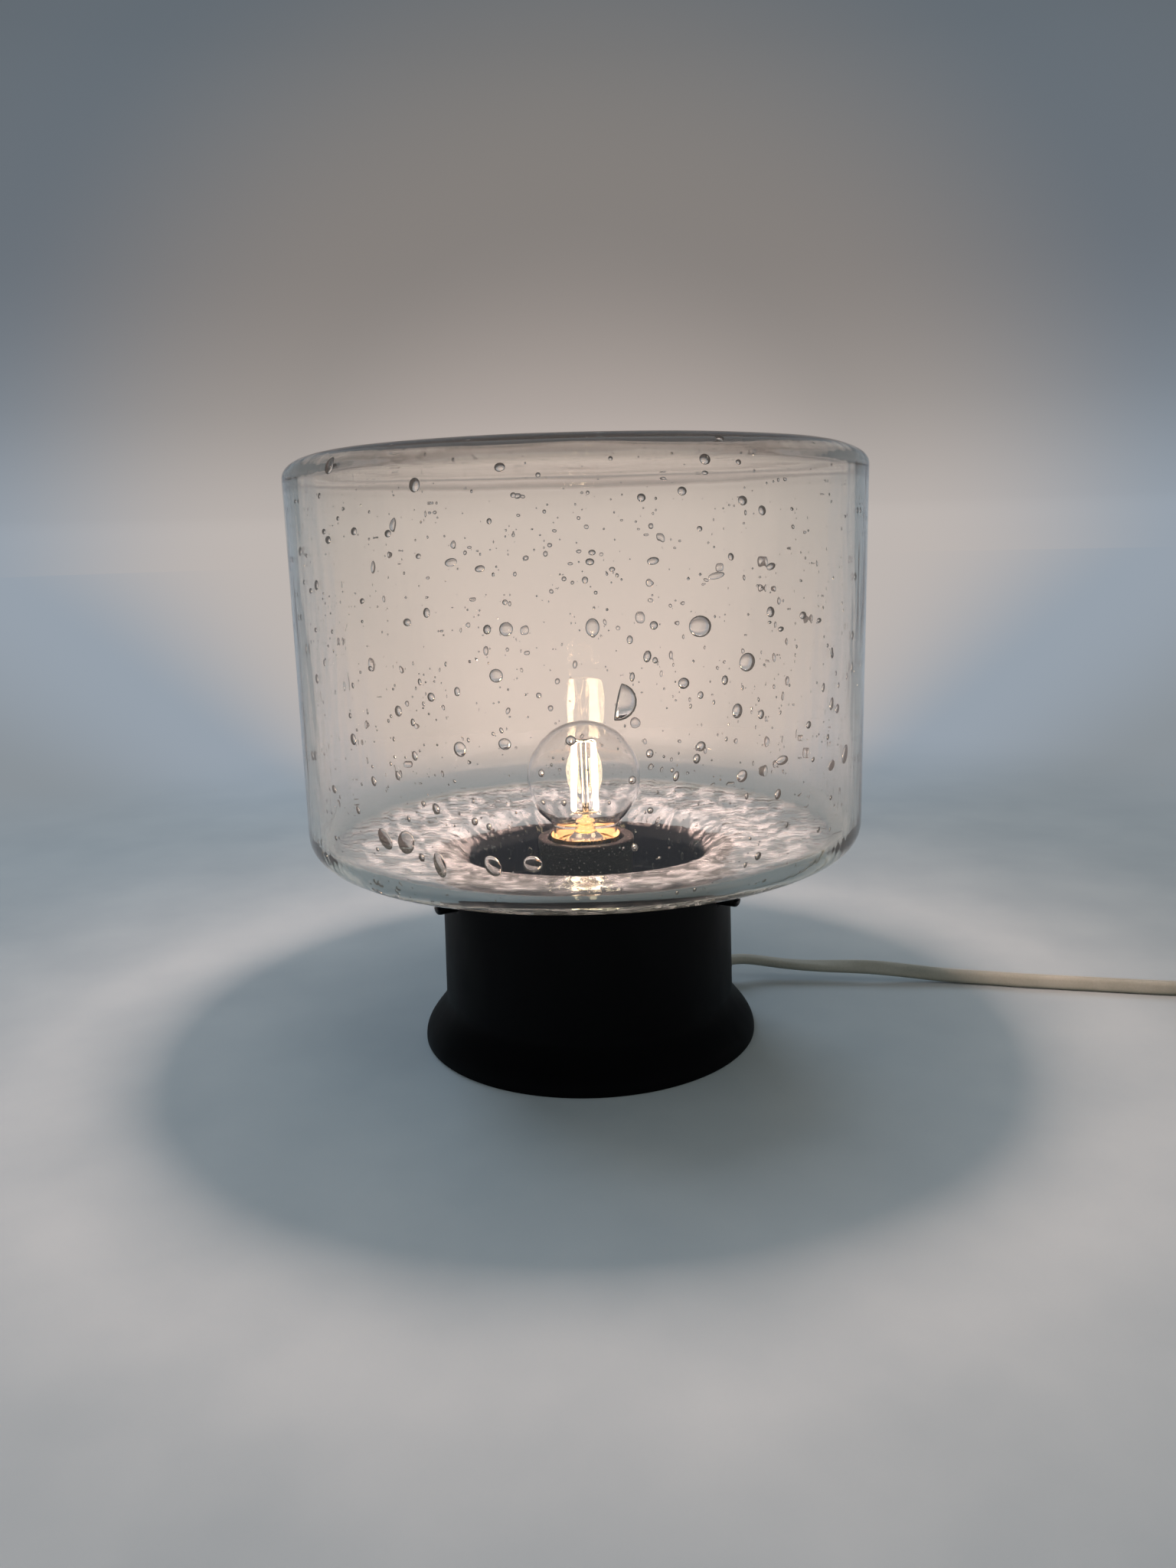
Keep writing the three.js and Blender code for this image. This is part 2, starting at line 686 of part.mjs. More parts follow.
const liveLead = [
  [18.2, -9.5, 11.5], [18.2, -14, 11.5], [15, -18.5, 11.2], [8, -17, 10.4], [2.9, -10, 9.8],
  [1.5, -3.4, 10.6], [1.45, -0.2, 15], [1.45, 0, 22], [1.45, 0, 28.5], [3, 0, 31.4], [7, 0, 32.6],
];
const neutralLead = [
  [26.2, -9.5, 11.5], [26.2, -15, 11.5], [22, -22, 11], [12, -24, 10], [0.5, -17, 9.2],
  [-2.2, -6.5, 9.8], [-1.5, -0.4, 15], [-1.45, 0, 22], [-1.45, 0, 28.5], [-3, 0, 31.4], [-7, 0, 32.6],
];
const innerCord = [
  [40.7, 37.7, 9.5], [36.8, 36.3, 9.7], [32.9, 34, 10], [26.7, 27.9, 10.7], [23.05, 20, 11.3],
  [22.2, 13.6, 11.5], [22.2, 10, 11.5], [22.2, 5.3, 11.5],
];

function cordRelief() {
  const collarStart = 13.8;
  const collarRadius = 5.3;
  const collarLength = 1.4;
  const endRadius = 4;
  const edge = 0.3;
  const relief = turned([
    [0, 0], [reliefRadius, 0], [reliefRadius, collarStart - edge], [collarRadius, collarStart],
    [collarRadius, collarStart + collarLength], [endRadius, reliefLength], [0, reliefLength],
  ], 20);
  return alongX(relief).rotateZ(entryAngle);
}

function addWiring() {
  put('terminal_block', terminalBlock(), 'porcelain');
  addTerminalScrews();
  cordClamp();
  const wireSection = ovalSection(wireRadius * 2, wireRadius * 2, 6);
  put('live_lead', tubeAlong(liveLead, wireSection, 22), 'brownWire');
  put('neutral_lead', tubeAlong(neutralLead, wireSection, 24), 'blueWire');
  put('cord_inner', tubeAlong(innerCord, ovalSection(cordWidth, cordThickness, 10), 14), 'ivoryPlastic');
  put('cord_relief', cordRelief(), 'ivoryPlastic').position.copy(entryStart);
}

// Free cord on the table, from the relief's end to the coil

const cordRoute = [
  [63.6, 43.87, 9.5], [68.5, 45.1, 9.3], [73.6, 45.7, 8.7], [79.3, 45.5, 7.9], [88.9, 43.9, 6.9],
  [98.5, 42.4, 6.4], [108.4, 41, 6.3], [118, 39.6, 6.4], [127.4, 38.2, 6.2], [137, 37, 5.4],
  [146.5, 35.6, 4.5], [154.5, 34.3, 3.8], [162.1, 32.8, 3.4], [175, 29.6, 3.3], [188.4, 25.8, 3.3],
  [203, 22.4, 3.3], [218, 19, 3.3], [232, 15.8, 3.3], [246, 12.8, 3.3], [260, 10.6, 3.5],
  [272, 9.7, 4], [280, 9.5, 4.25], [283.4, 9.5, 4.25],
];

// Coil: in at the outer turn of the lower layer, spiralling in, up a layer and out again, then a tail

const coilLift = 1.1; // of the lower turns over the table, for the tie under them
const layerGap = 0.5;
const lowerLayer = coilLift + cordWidth / 2;
const upperLayer = lowerLayer + cordWidth + layerGap;
const plugMiddle = plugThickness / 2;
const stepsPerTurn = 24;

function coilPath() {
  const half = coilTurns / 2;
  const pitch = (coilOuter - coilInner) / half;
  const climbShare = 0.25; // of a turn, on each side of the reversal
  const points = [new THREE.Vector3(-cordWidth, coilOuter, lowerLayer)];
  const count = coilTurns * stepsPerTurn;
  for (let i = 0; i <= count; i += 1) {
    const turns = i / stepsPerTurn;
    const angle = Math.PI / 2 - turns * 2 * Math.PI;
    const radius = coilOuter - pitch * Math.min(turns, coilTurns - turns);
    const climb = THREE.MathUtils.smoothstep(turns, half - climbShare, half + climbShare);
    points.push(new THREE.Vector3(radius * Math.cos(angle), radius * Math.sin(angle),
      THREE.MathUtils.lerp(lowerLayer, upperLayer, climb)));
  }
  const fallShare = 0.3; // of the tail, before it comes down to the plug
  const tailSteps = 6;
  const straight = tailLength - cordWidth;
  for (let i = 1; i <= tailSteps; i += 1) {
    const along = straight * i / tailSteps;
    const fall = THREE.MathUtils.smoothstep(along, tailLength * fallShare, straight);
    points.push(new THREE.Vector3(coilOuter, -along, THREE.MathUtils.lerp(upperLayer, plugMiddle, fall)));
  }
  points.push(new THREE.Vector3(coilOuter, -tailLength, plugMiddle));
  return points;
}

function coilRings(points, sides) {
  const up = new THREE.Vector3(0, 0, 1);
  return points.map((point, i) => {
    const before = points[Math.max(i - 1, 0)];
    const after = points[Math.min(i + 1, points.length - 1)];
    const along = after.clone().sub(before).normalize();
    const side = along.clone().cross(up).normalize();
    const upright = side.clone().cross(along);
    return Array.from({ length: sides }, (_, k) => {
      const angle = (k + 0.5) * 2 * Math.PI / sides;
      return point.clone().addScaledVector(side, cordThickness / 2 * Math.cos(angle))
        .addScaledVector(upright, cordWidth / 2 * Math.sin(angle));
    });
  });
}

// The shortest way between points of the surface that lie over half a turn apart along the cord
function leastGap(rings) {
  let least = Infinity;
  for (let i = 0; i < rings.length; i += 1) {
    for (let j = i + stepsPerTurn / 2; j < rings.length; j += 1) {
      for (const a of rings[i]) {
        for (const b of rings[j]) least = Math.min(least, a.distanceTo(b));
      }
    }
  }
  return least;
}

function coilGeometry() {
  const sides = 6;
  const path = coilPath();
  const rings = coilRings(path, sides);
  console.log(`coil: least gap between turns ${leastGap(rings).toFixed(2)} mm`);
  const points = [...rings.flat(), path[0], path.at(-1)];
  const first = rings.length * sides;
  const faces = [];
  for (let i = 0; i < rings.length - 1; i += 1) {
    for (let k = 0; k < sides; k += 1) {
      const [a, b] = [i * sides + k, i * sides + (k + 1) % sides];
      faces.push(a, a + sides, b, b, a + sides, b + sides);
    }
  }
  for (let k = 0; k < sides; k += 1) {
    const next = (k + 1) % sides;
    const last = (rings.length - 1) * sides;
    faces.push(first, k, next, first + 1, last + next, last + k);
  }
  const geometry = new THREE.BufferGeometry().setFromPoints(points);
  geometry.setIndex(faces);
  return geometry;
}

function cordTie() {
  const space = 0.5; // round the turns
  const strap = 0.55;
  const strapWidth = 8;
  const corner = 1.5;
  const half = cordThickness / 2 + space;
  const [low, high] = [lowerLayer - cordWidth / 2 - space, upperLayer + cordWidth / 2 + space];
  const outline = (grow, Path) => {
    const [left, right] = [coilInner - half - grow, coilOuter + half + grow];
    const [bottom, top] = [low - grow, high + grow];
    const round = corner + grow;
    const path = new Path();
    path.moveTo(left + round, bottom);
    path.absarc(right - round, bottom + round, round, -Math.PI / 2, 0);
    path.absarc(right - round, top - round, round, 0, Math.PI / 2);
    path.absarc(left + round, top - round, round, Math.PI / 2, Math.PI);
    path.absarc(left + round, bottom + round, round, Math.PI, Math.PI * 1.5);
    return path;
  };
  const shape = outline(strap, THREE.Shape);
  shape.holes.push(outline(0, THREE.Path));
  const band = new THREE.ExtrudeGeometry(shape, { depth: strapWidth, bevelEnabled: false, curveSegments: 3 });
  return band.rotateX(Math.PI / 2).translate(0, strapWidth / 2, 0);
}

// Flat plug, its cord end at the origin and its pins towards -Y

function plugBody() {
  const sleeveLength = 13;
  const sleeveEnd = 3.9;
  const sleeveRoot = 5.4;
  const bodyLength = 34;
  const widest = 35.2;
  const faceWidth = 27;
  const rearWidth = 15;
  const edge = 1.6;
  const widestShare = 0.55; // of the body's length, from the cord's side
  const start = -sleeveLength;
  const outline = new THREE.Shape([
    [-rearWidth / 2, start], [-widest / 2, start - bodyLength * widestShare],
    [-faceWidth / 2, start - bodyLength], [faceWidth / 2, start - bodyLength],
    [widest / 2, start - bodyLength * widestShare], [rearWidth / 2, start],
  ].map(([x, y]) => new THREE.Vector2(x, y)));
  const body = new THREE.ExtrudeGeometry(outline, {
    depth: plugThickness - edge * 2, bevelThickness: edge, bevelSize: edge, bevelOffset: -edge,
    bevelSegments: 3,
  }).translate(0, 0, edge);
  const sleeve = turned([
    [0, 0], [sleeveEnd, 0], [sleeveRoot, sleeveLength], [sleeveRoot, sleeveLength + overrun * 2],
    [0, sleeveLength + overrun * 2],
  ], 20).rotateX(Math.PI / 2).translate(0, 0, plugMiddle);
  return { geometry: join(body, sleeve), face: start - bodyLength };
}

function addPlug() {
  const pinRadius = 2;
  const pinLength = 19;
  const pinSpread = 18.6; // between the pins at the plug's face
  const pinLean = THREE.MathUtils.degToRad(1.6);
  const tip = 0.9;
  const plug = new THREE.Group();
  plug.position.set(coilMiddle.x + coilOuter, coilMiddle.y - tailLength - clearance, 0);
  light.add(plug);
  const { geometry, face } = plugBody();
  put('plug_body', geometry, 'ivoryPlastic', plug);
  [-1, 1].forEach((side, i) => {
    const pin = turned([
      [0, 0], [pinRadius, 0], [pinRadius, pinLength - tip], [pinRadius - tip, pinLength], [0, pinLength],
    ], 16).rotateX(Math.PI / 2).rotateZ(-side * pinLean);
    put(`plug_pin_${i + 1}`, pin, 'nickel', plug).position
      .set(side * pinSpread / 2, face - clearance, plugMiddle);
  });
}

function addCord() {
  const tieAzimuth = THREE.MathUtils.degToRad(-135);
  put('cord_run', tubeAlong(cordRoute, ovalSection(cordWidth, cordThickness, 10), 30), 'ivoryPlastic');
  const coil = new THREE.Group();
  coil.position.set(coilMiddle.x, coilMiddle.y, 0);
  light.add(coil);
  put('cord_coil', coilGeometry(), 'ivoryPlastic', coil);
  put('cord_tie', cordTie(), 'greyTie', coil).rotation.z = tieAzimuth;
  addPlug();
}

put('canopy_shell', canopyShell(), 'blackLacquer');
put('mounting_bridge', mountingBridge(), 'zincSteel');
addNipple();
addHolder();
addWiring();
addClamps();
put('glass_shade', glassShade(), 'bubbleGlass');
addBulb();
addCord();

export default light;
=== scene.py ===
import math
import random

import bmesh
import bpy
from mathutils import Matrix, Vector, noise


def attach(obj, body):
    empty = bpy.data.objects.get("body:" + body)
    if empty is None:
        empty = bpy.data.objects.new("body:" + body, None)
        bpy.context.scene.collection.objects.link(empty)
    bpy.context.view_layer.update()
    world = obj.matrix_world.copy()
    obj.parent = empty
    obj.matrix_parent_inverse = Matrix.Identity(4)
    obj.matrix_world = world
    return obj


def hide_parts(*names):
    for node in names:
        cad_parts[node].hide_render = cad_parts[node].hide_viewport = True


# Bubble-glass ceiling light standing on its canopy, dressed for a close photograph.
# Blender works in metres; sizes below are millimetres and are multiplied by mm.

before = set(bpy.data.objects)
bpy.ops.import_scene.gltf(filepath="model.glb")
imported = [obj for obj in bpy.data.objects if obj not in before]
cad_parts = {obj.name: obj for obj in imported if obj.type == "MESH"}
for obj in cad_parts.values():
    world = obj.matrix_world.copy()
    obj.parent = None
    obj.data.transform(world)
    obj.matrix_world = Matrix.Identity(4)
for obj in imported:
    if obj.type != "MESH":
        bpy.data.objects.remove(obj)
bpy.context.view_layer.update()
scene = bpy.context.scene
mm = 0.001
print("frame loaded:", len(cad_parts), "nodes")


# Camera

camera = {
    "place": (0, -460, 199.5),
    "down": 12,  # degrees, as turn and roll
    "turn": -0.19,
    "roll": -1.5,
    "lens": 27.07,
    "sensor": 36,
    "nearest": 10,
}


def addCamera():
    data = bpy.data.cameras.new("camera")
    data.sensor_width = camera["sensor"]
    data.sensor_fit = "AUTO"
    data.lens = camera["lens"]
    data.clip_start = camera["nearest"] * mm
    stand = bpy.data.objects.new("camera", data)
    scene.collection.objects.link(stand)
    turn = Matrix.Rotation(math.radians(camera["turn"]), 4, "Z")
    tilt = Matrix.Rotation(math.radians(90 - camera["down"]), 4, "X")
    roll = Matrix.Rotation(math.radians(camera["roll"]), 4, "Z")
    stand.matrix_world = Matrix.Translation(Vector(camera["place"]) * mm) @ turn @ tilt @ roll
    scene.camera = stand


addCamera()


# Helpers for nodes

def toLinear(hexColour):
    parts = [int(hexColour[i:i + 2], 16) / 255 for i in (1, 3, 5)]
    return tuple(p / 12.92 if p <= 0.04045 else ((p + 0.055) / 1.055) ** 2.4 for p in parts) + (1,)


def addNode(tree, kind, settings=None, inputs=None):
    node = tree.nodes.new(kind)
    for name, value in (settings or {}).items():
        setattr(node, name, value)
    for name, value in (inputs or {}).items():
        if isinstance(value, bpy.types.NodeSocket):
            tree.links.new(value, node.inputs[name])
        else:
            node.inputs[name].default_value = value
    return node


def addNoise(tree, place, scale, detail=2, stretch=(1, 1, 1)):
    spread = addNode(tree, "ShaderNodeMapping", None, {"Vector": place, "Scale": stretch}).outputs[0]
    return addNode(tree, "ShaderNodeTexNoise", None,
                   {"Vector": spread, "Scale": scale, "Detail": detail}).outputs[0]


def addRange(tree, value, low, high, start=0.3, end=0.7):
    return addNode(tree, "ShaderNodeMapRange", None, {
        "Value": value, "From Min": start, "From Max": end, "To Min": low, "To Max": high}).outputs[0]


def addColours(tree, value, stops, blend="LINEAR"):  # stops: (place on the ramp, hex colour)
    ramp = addNode(tree, "ShaderNodeValToRGB", None, {"Fac": value})
    ramp.color_ramp.interpolation = blend
    while len(ramp.color_ramp.elements) < len(stops):
        ramp.color_ramp.elements.new(0.5)
    for element, (spot, colour) in zip(ramp.color_ramp.elements, stops):
        element.position = spot
        element.color = toLinear(colour)
    return ramp.outputs[0]


def addMath(tree, operation, first, second):
    node = addNode(tree, "ShaderNodeMath", {"operation": operation})
    for socket, value in zip(node.inputs, (first, second)):
        if isinstance(value, bpy.types.NodeSocket):
            tree.links.new(value, socket)
        else:
            socket.default_value = value
    return node.outputs[0]


def newMaterial(name, values):
    material = bpy.data.materials.new(name)
    material.use_nodes = True
    tree = material.node_tree
    tree.nodes.clear()
    shader = addNode(tree, "ShaderNodeBsdfPrincipled", None, values)
    addNode(tree, "ShaderNodeOutputMaterial", {"name": "out"}, {"Surface": shader.outputs[0]})
    place = addNode(tree, "ShaderNodeTexCoord").outputs["Object"]
    return material, tree, shader, place


def addBump(tree, shader, height, distance, strength=1.0):
    bump = addNode(tree, "ShaderNodeBump", None, {
        "Height": height, "Distance": distance * mm, "Strength": strength})
    tree.links.new(bump.outputs[0], shader.inputs["Normal"])


def addBlend(tree, first, second, share):  # this share of the first value and the rest of the second
    return addMath(tree, "ADD", addMath(tree, "MULTIPLY", first, share),
                   addMath(tree, "MULTIPLY", second, 1 - share))


def addLength(tree, vector):
    return addNode(tree, "ShaderNodeVectorMath", {"operation": "LENGTH"}, {0: vector}).outputs["Value"]


def addFade(tree, value, start, end, low=0, high=1):  # from low to high between two places in mm
    return addRange(tree, value, low, high, start * mm, end * mm)


# A finish has clouds of colour and gloss and a fine grain

noiseLow, noiseHigh = 0.36, 0.64  # nearly all of the noise lies between these


def addFinish(name, colours, rough, grain, depth, values, cloud):
    material, tree, shader, place = newMaterial(name, values)
    clouds = addNoise(tree, place, 1 / (cloud * mm), 4)
    grains = addNoise(tree, place, 1 / (grain * mm), 3)
    both = addBlend(tree, clouds, grains, 0.65)
    colour = addColours(tree, both, [(noiseLow, colours[0]), (noiseHigh, colours[1])])
    tree.links.new(colour, shader.inputs["Base Color"])
    tree.links.new(addRange(tree, both, *rough, noiseLow, noiseHigh), shader.inputs["Roughness"])
    addBump(tree, shader, grains, depth)
    return material


metal = {"Metallic": 1.0}
# painted glow: the cap's seal shines as if lit by the strips above it, though it is no lamp
paintedSealGlow = {"Emission Color": toLinear("#fdbd82"), "Emission Strength": 0.95}
finishRows = {  # colours, roughness, the grain's size and height in mm, shader values, the clouds' size in mm
    # hot-blackened steel: nearly black, with a dull oily sheen
    "blackenedSteel": (("#111213", "#1e1f20"), (0.32, 0.5), 0.5, 0.01, metal, 4),
    # zinc-plated steel: cool grey with cloudy gloss
    "zincSteel": (("#9a9ea1", "#bcc0c2"), (0.24, 0.42), 1.6, 0.012, metal, 7),
    # drawn brass: warm yellow, half bright
    "brass": (("#a9843f", "#cfa85c"), (0.2, 0.38), 0.8, 0.006, metal, 6),
    # nickel plate: pale and bright, a little warm
    "nickel": (("#a8a69f", "#c9c7c1"), (0.14, 0.3), 0.9, 0.005, metal, 8),
    # pressed phenolic resin: black with a hard half gloss
    "phenolic": (("#0c0b0b", "#1b1918"), (0.3, 0.5), 0.6, 0.01, None, 9),
    # glazed porcelain: off-white with wet highlights
    "porcelain": (("#dcd8cc", "#ece9e0"), (0.16, 0.28), 2.5, 0.02, None, 11),
    # moulded nylon: milky and satin
    "nylon": (("#cdc9ba", "#dedbce"), (0.38, 0.52), 0.7, 0.01, None, 6),
    # extruded soft plastic: ivory greyed by age, with a waxy sheen
    "ivoryPlastic": (("#7e8074", "#8d8e82"), (0.36, 0.52), 0.9, 0.02, None, 16),
    # extruded wire sheaths: an even colour with a slight gloss
    "brownWire": (("#3a2416", "#4e3220"), (0.34, 0.46), 0.6, 0.01, None, 9),
    "blueWire": (("#234a7b", "#2f5c93"), (0.34, 0.46), 0.6, 0.01, None, 9),
    # fused black glass: sharp highlights on black
    "blackGlass": (("#0a0a0c", "#141317"), (0.08, 0.16), 1.5, 0.01, None, 5),
    # circuit board in white lacquer: pale and satin
    "circuitBoard": (("#d9d6cd", "#e4e2da"), (0.36, 0.5), 0.5, 0.01, None, 4),
    # moulded tie: grey and matt
    "greyTie": (("#4c4e50", "#5d5f61"), (0.4, 0.55), 0.6, 0.012, None, 7),
    # the bulb's cement, peach and matt, with a painted glow that stands in for the strips' light just above
    # it
    "capSealPaintedGlow": (("#cf9a62", "#dfae78"), (0.4, 0.6), 0.7, 0.03, paintedSealGlow, 3),
}
finishes = {name: addFinish(name, *row) for name, row in finishRows.items()}
finishes["capSealPaintedGlow"].cycles.emission_sampling = "NONE"
print("finishes mixed:", len(finishes))


# Helpers for meshes and pieces

def newObject(name, mesh):
    piece = bpy.data.objects.new(name, mesh)
    scene.collection.objects.link(piece)
    return piece


def toMesh(bm, name, sharp=35):
    for face in bm.faces:
        face.smooth = True
    for edge in bm.edges:
        if not edge.is_manifold or edge.calc_face_angle(0) > math.radians(sharp):
            edge.smooth = False
    mesh = bpy.data.meshes.new(name)
    bm.to_mesh(mesh)
    bm.free()
    return mesh


def evaluated(piece):
    graph = bpy.context.evaluated_depsgraph_get()
    return bpy.data.meshes.new_from_object(piece.evaluated_get(graph))


def arc(middle, run, rise, start, end, steps):  # an arc's (radius, height) points, angles in degrees
    angles = [math.radians(start + (end - start) * i / steps) for i in range(steps + 1)]
    return [(middle[0] + run * math.cos(a), middle[1] + rise * math.sin(a)) for a in angles]


def along(start, end, steps):  # the points between two others, without them
    return [tuple(a + (b - a) * i / steps for a, b in zip(start, end)) for i in range(1, steps)]


def ease(share):
    share = min(max(share, 0), 1)
    return share * share * (3 - 2 * share)


def spun(points, steps, closed=False):  # (radius, height) points in mm, turned round the upright axis
    bm = bmesh.new()
    verts = [bm.verts.new((radius * mm, 0, height * mm)) for radius, height in points]
    pairs = list(zip(verts, verts[1:])) + ([(verts[-1], verts[0])] if closed else [])
    edges = [bm.edges.new(pair) for pair in pairs]
    bmesh.ops.spin(bm, geom=verts + edges, cent=(0, 0, 0), axis=(0, 0, 1), dvec=(0, 0, 0),
                   angle=2 * math.pi, steps=steps, use_merge=True)
    bmesh.ops.remove_doubles(bm, verts=bm.verts, dist=0.002 * mm)
    bmesh.ops.recalc_face_normals(bm, faces=bm.faces)
    return bm


def turned(name, points, steps, sharp=35, closed=False, place=None, direction=(0, 0, 1)):
    bm = spun(points, steps, closed)
    if place is not None:  # the axis is laid along the direction and the shape is moved there
        turn = Vector((0, 0, 1)).rotation_difference(Vector(direction)).to_matrix().to_4x4()
        bmesh.ops.transform(bm, matrix=Matrix.Translation(Vector(place) * mm) @ turn, verts=bm.verts)
    return newObject(name, toMesh(bm, name, sharp))


def heading(degrees):  # a level direction, counted from the right towards the back
    turn = math.radians(degrees)
    return Vector((math.cos(turn), math.sin(turn), 0))


def bevelled(bm, width, angle=35):
    sharp = [e for e in bm.edges if e.is_manifold and e.calc_face_angle(0) > math.radians(angle)]
    bmesh.ops.bevel(bm, geom=sharp, offset=width * mm, offset_type="OFFSET", segments=2,
                    profile=0.5, affect="EDGES", clamp_overlap=True, material=-1)


def dress(piece, body, finish, slot, *nodes):
    piece.data.materials.clear()
    piece.data.materials.append(finish)
    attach(piece, body)
    if nodes:
        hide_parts(*nodes)
    return piece


def carve(piece, cutters):
    for cutter in cutters:
        cut = piece.modifiers.new("cut", "BOOLEAN")
        cut.object = cutter
        cut.solver = "EXACT"
    mesh = evaluated(piece)
    piece.modifiers.clear()
    piece.data = mesh
    for cutter in cutters:
        bpy.data.objects.remove(cutter)


def softened(name, node, body, finish, slot, edge, angle=35):  # a copy of a node with its edges broken
    bm = bmesh.new()
    bm.from_mesh(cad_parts[node].data)
    bmesh.ops.remove_doubles(bm, verts=bm.verts, dist=0.005 * mm)
    bmesh.ops.dissolve_limit(bm, angle_limit=math.radians(1), use_dissolve_boundaries=False,
                             verts=bm.verts, edges=bm.edges)
    bevelled(bm, edge, angle)
    return dress(newObject(name, toMesh(bm, name, angle)), body, finish, slot, node)


def smoothPath(points, spacing):  # a smooth line through points in mm, with a point every so many mm
    spots = [Vector(p) for p in points]
    spots = [2 * spots[0] - spots[1]] + spots + [2 * spots[-1] - spots[-2]]
    path = []
    for a, b, c, d in zip(spots, spots[1:], spots[2:], spots[3:]):
        first = (b - a).length ** 0.5
        second = first + (c - b).length ** 0.5
        third = second + (d - c).length ** 0.5
        steps = max(2, round((c - b).length / spacing))
        for i in range(steps):
            t = first + (second - first) * i / steps
            ab = a.lerp(b, t / first)
            bc = b.lerp(c, (t - first) / (second - first))
            cd = c.lerp(d, (t - second) / (third - second))
            path.append(ab.lerp(bc, t / second).lerp(
                bc.lerp(cd, (t - first) / (third - first)), (t - first) / (second - first)))
    return path + [spots[-2]]


def tube(name, path, profile=None, radius=0, tilts=None):
    curve = bpy.data.curves.new(name, "CURVE")
    curve.dimensions = "3D"
    curve.twist_mode = "Z_UP"
    spline = curve.splines.new("POLY")
    spline.points.add(len(path) - 1)
    for i, point in enumerate(path):
        spline.points[i].co = (*(point * mm), 1)
        spline.points[i].tilt = tilts[i] if tilts else 0
    if profile:
        curve.bevel_mode = "OBJECT"
        curve.bevel_object = profile
    else:
        curve.bevel_depth = radius * mm
        curve.bevel_resolution = 4
    curve.use_fill_caps = True
    piece = newObject(name, curve)
    bm = bmesh.new()
    mesh = evaluated(piece)
    bpy.data.objects.remove(piece)
    bm.from_mesh(mesh)
    bmesh.ops.remove_doubles(bm, verts=bm.verts, dist=0.002 * mm)
    bmesh.ops.recalc_face_normals(bm, faces=bm.faces)
    return newObject(name, toMesh(bm, name, 50))


# Cord: flat at the canopy, on its edge further out, then a coil with a tie and a plug

cord = {
    "width": 6.3,
    "thickness": 3.8,
    "length": 1.83,  # metres
    "route": [
        (60.7, 43.08, 9.5), (63.6, 43.87, 9.5), (68.5, 45.1, 9.3), (73.6, 45.7, 8.7), (79.3, 45.5, 7.9),
        (88.9, 43.9, 6.9), (98.5, 42.4, 6.4), (108.4, 41, 6.3), (118, 39.6, 6.4), (127.4, 38.2, 6.2),
        (137, 37, 5.4), (146.5, 35.6, 4.5), (154.5, 34.3, 3.8), (162.1, 32.8, 3.4), (175, 29.6, 3.3),
        (188.4, 25.8, 3.3), (203, 22.4, 3.3), (218, 19, 3.3), (232, 15.8, 3.3), (246, 12.8, 3.3),
        (260, 10.6, 3.5), (272, 9.7, 4), (280, 9.5, 4.25),
    ],
    "inside": [
        (40.7, 37.7, 9.5), (36.8, 36.3, 9.7), (32.9, 34, 10), (26.7, 27.9, 10.7), (23.05, 20, 11.3),
        (22.2, 13.6, 11.5), (22.2, 10, 11.5), (22.2, 5.3, 11.5),
    ],
    "turnedFrom": 85,  # the flat side turns upright between these places along x
    "turnedTo": 152,
    "coilMiddle": (290, -33),
    "coilOuter": 42.5,
    "coilInner": 26,
    "coilTurns": 7.25,
    "coilSteps": 24,  # points in a turn
    "layers": (4.25, 11.05),
    "tail": 40,
    "sinksFrom": 0.3,  # share of the tail after which it sinks to the plug
    "plugHeight": 7,
}


def coilPath():
    middle, turns, outer = cord["coilMiddle"], cord["coilTurns"], cord["coilOuter"]
    (lower, upper), last = cord["layers"], cord["plugHeight"]
    pitch = (outer - cord["coilInner"]) / (turns / 2)
    path = [(middle[0] - cord["width"], middle[1] + outer, lower)]
    for i in range(round(turns * cord["coilSteps"]) + 1):
        turn = i / cord["coilSteps"]
        angle = math.pi / 2 - 2 * math.pi * turn
        radius = outer - pitch * min(turn, turns - turn)
        height = lower + (upper - lower) * ease((turn - turns / 2 + 0.25) / 0.5)  # it climbs in half a turn
        path.append((middle[0] + radius * math.cos(angle), middle[1] + radius * math.sin(angle), height))
    straight, sinks = cord["tail"] - cord["width"], cord["tail"] * cord["sinksFrom"]
    for i in range(1, 7):
        run = straight * i / 6
        height = upper + (last - upper) * ease((run - sinks) / (straight - sinks))
        path.append((middle[0] + outer, middle[1] - run, height))
    path.append((middle[0] + outer, middle[1] - cord["tail"], last))
    return path


def cordSection():  # a flat oval, its width along x
    half = cord["thickness"] / 2
    flat = cord["width"] / 2 - half
    ring = bpy.data.curves.new("cordSection", "CURVE")
    ring.dimensions = "2D"
    spline = ring.splines.new("POLY")
    points = arc((flat, 0), half, half, -90, 90, 8) + arc((-flat, 0), half, half, 90, 270, 8)
    spline.points.add(len(points) - 1)
    for spot, (x, y) in zip(spline.points, points):
        spot.co = (x * mm, y * mm, 0, 1)
    spline.use_cyclic_u = True
    return newObject("cordSection", ring)


def addCord():
    section = cordSection()
    path = smoothPath(cord["route"] + coilPath(), 2)
    start, end = cord["turnedFrom"], cord["turnedTo"]
    tilts = [math.pi / 2 * ease((p.x - start) / (end - start)) for p in path]
    piece = tube("cord", path, section, tilts=tilts)
    inside = smoothPath(cord["inside"], 1.5)
    inner = tube("cord_in_canopy", inside, section, tilts=[math.pi / 2] * len(inside))
    bpy.data.objects.remove(section)
    print("cord length:", round(sum((b - a).length for a, b in zip(path, path[1:])) * mm, 3))
    dress(inner, "base", finishes["ivoryPlastic"], "ivory_plastic", "cord_inner")
    return dress(piece, "base", finishes["ivoryPlastic"], "ivory_plastic", "cord_run", "cord_coil"), path


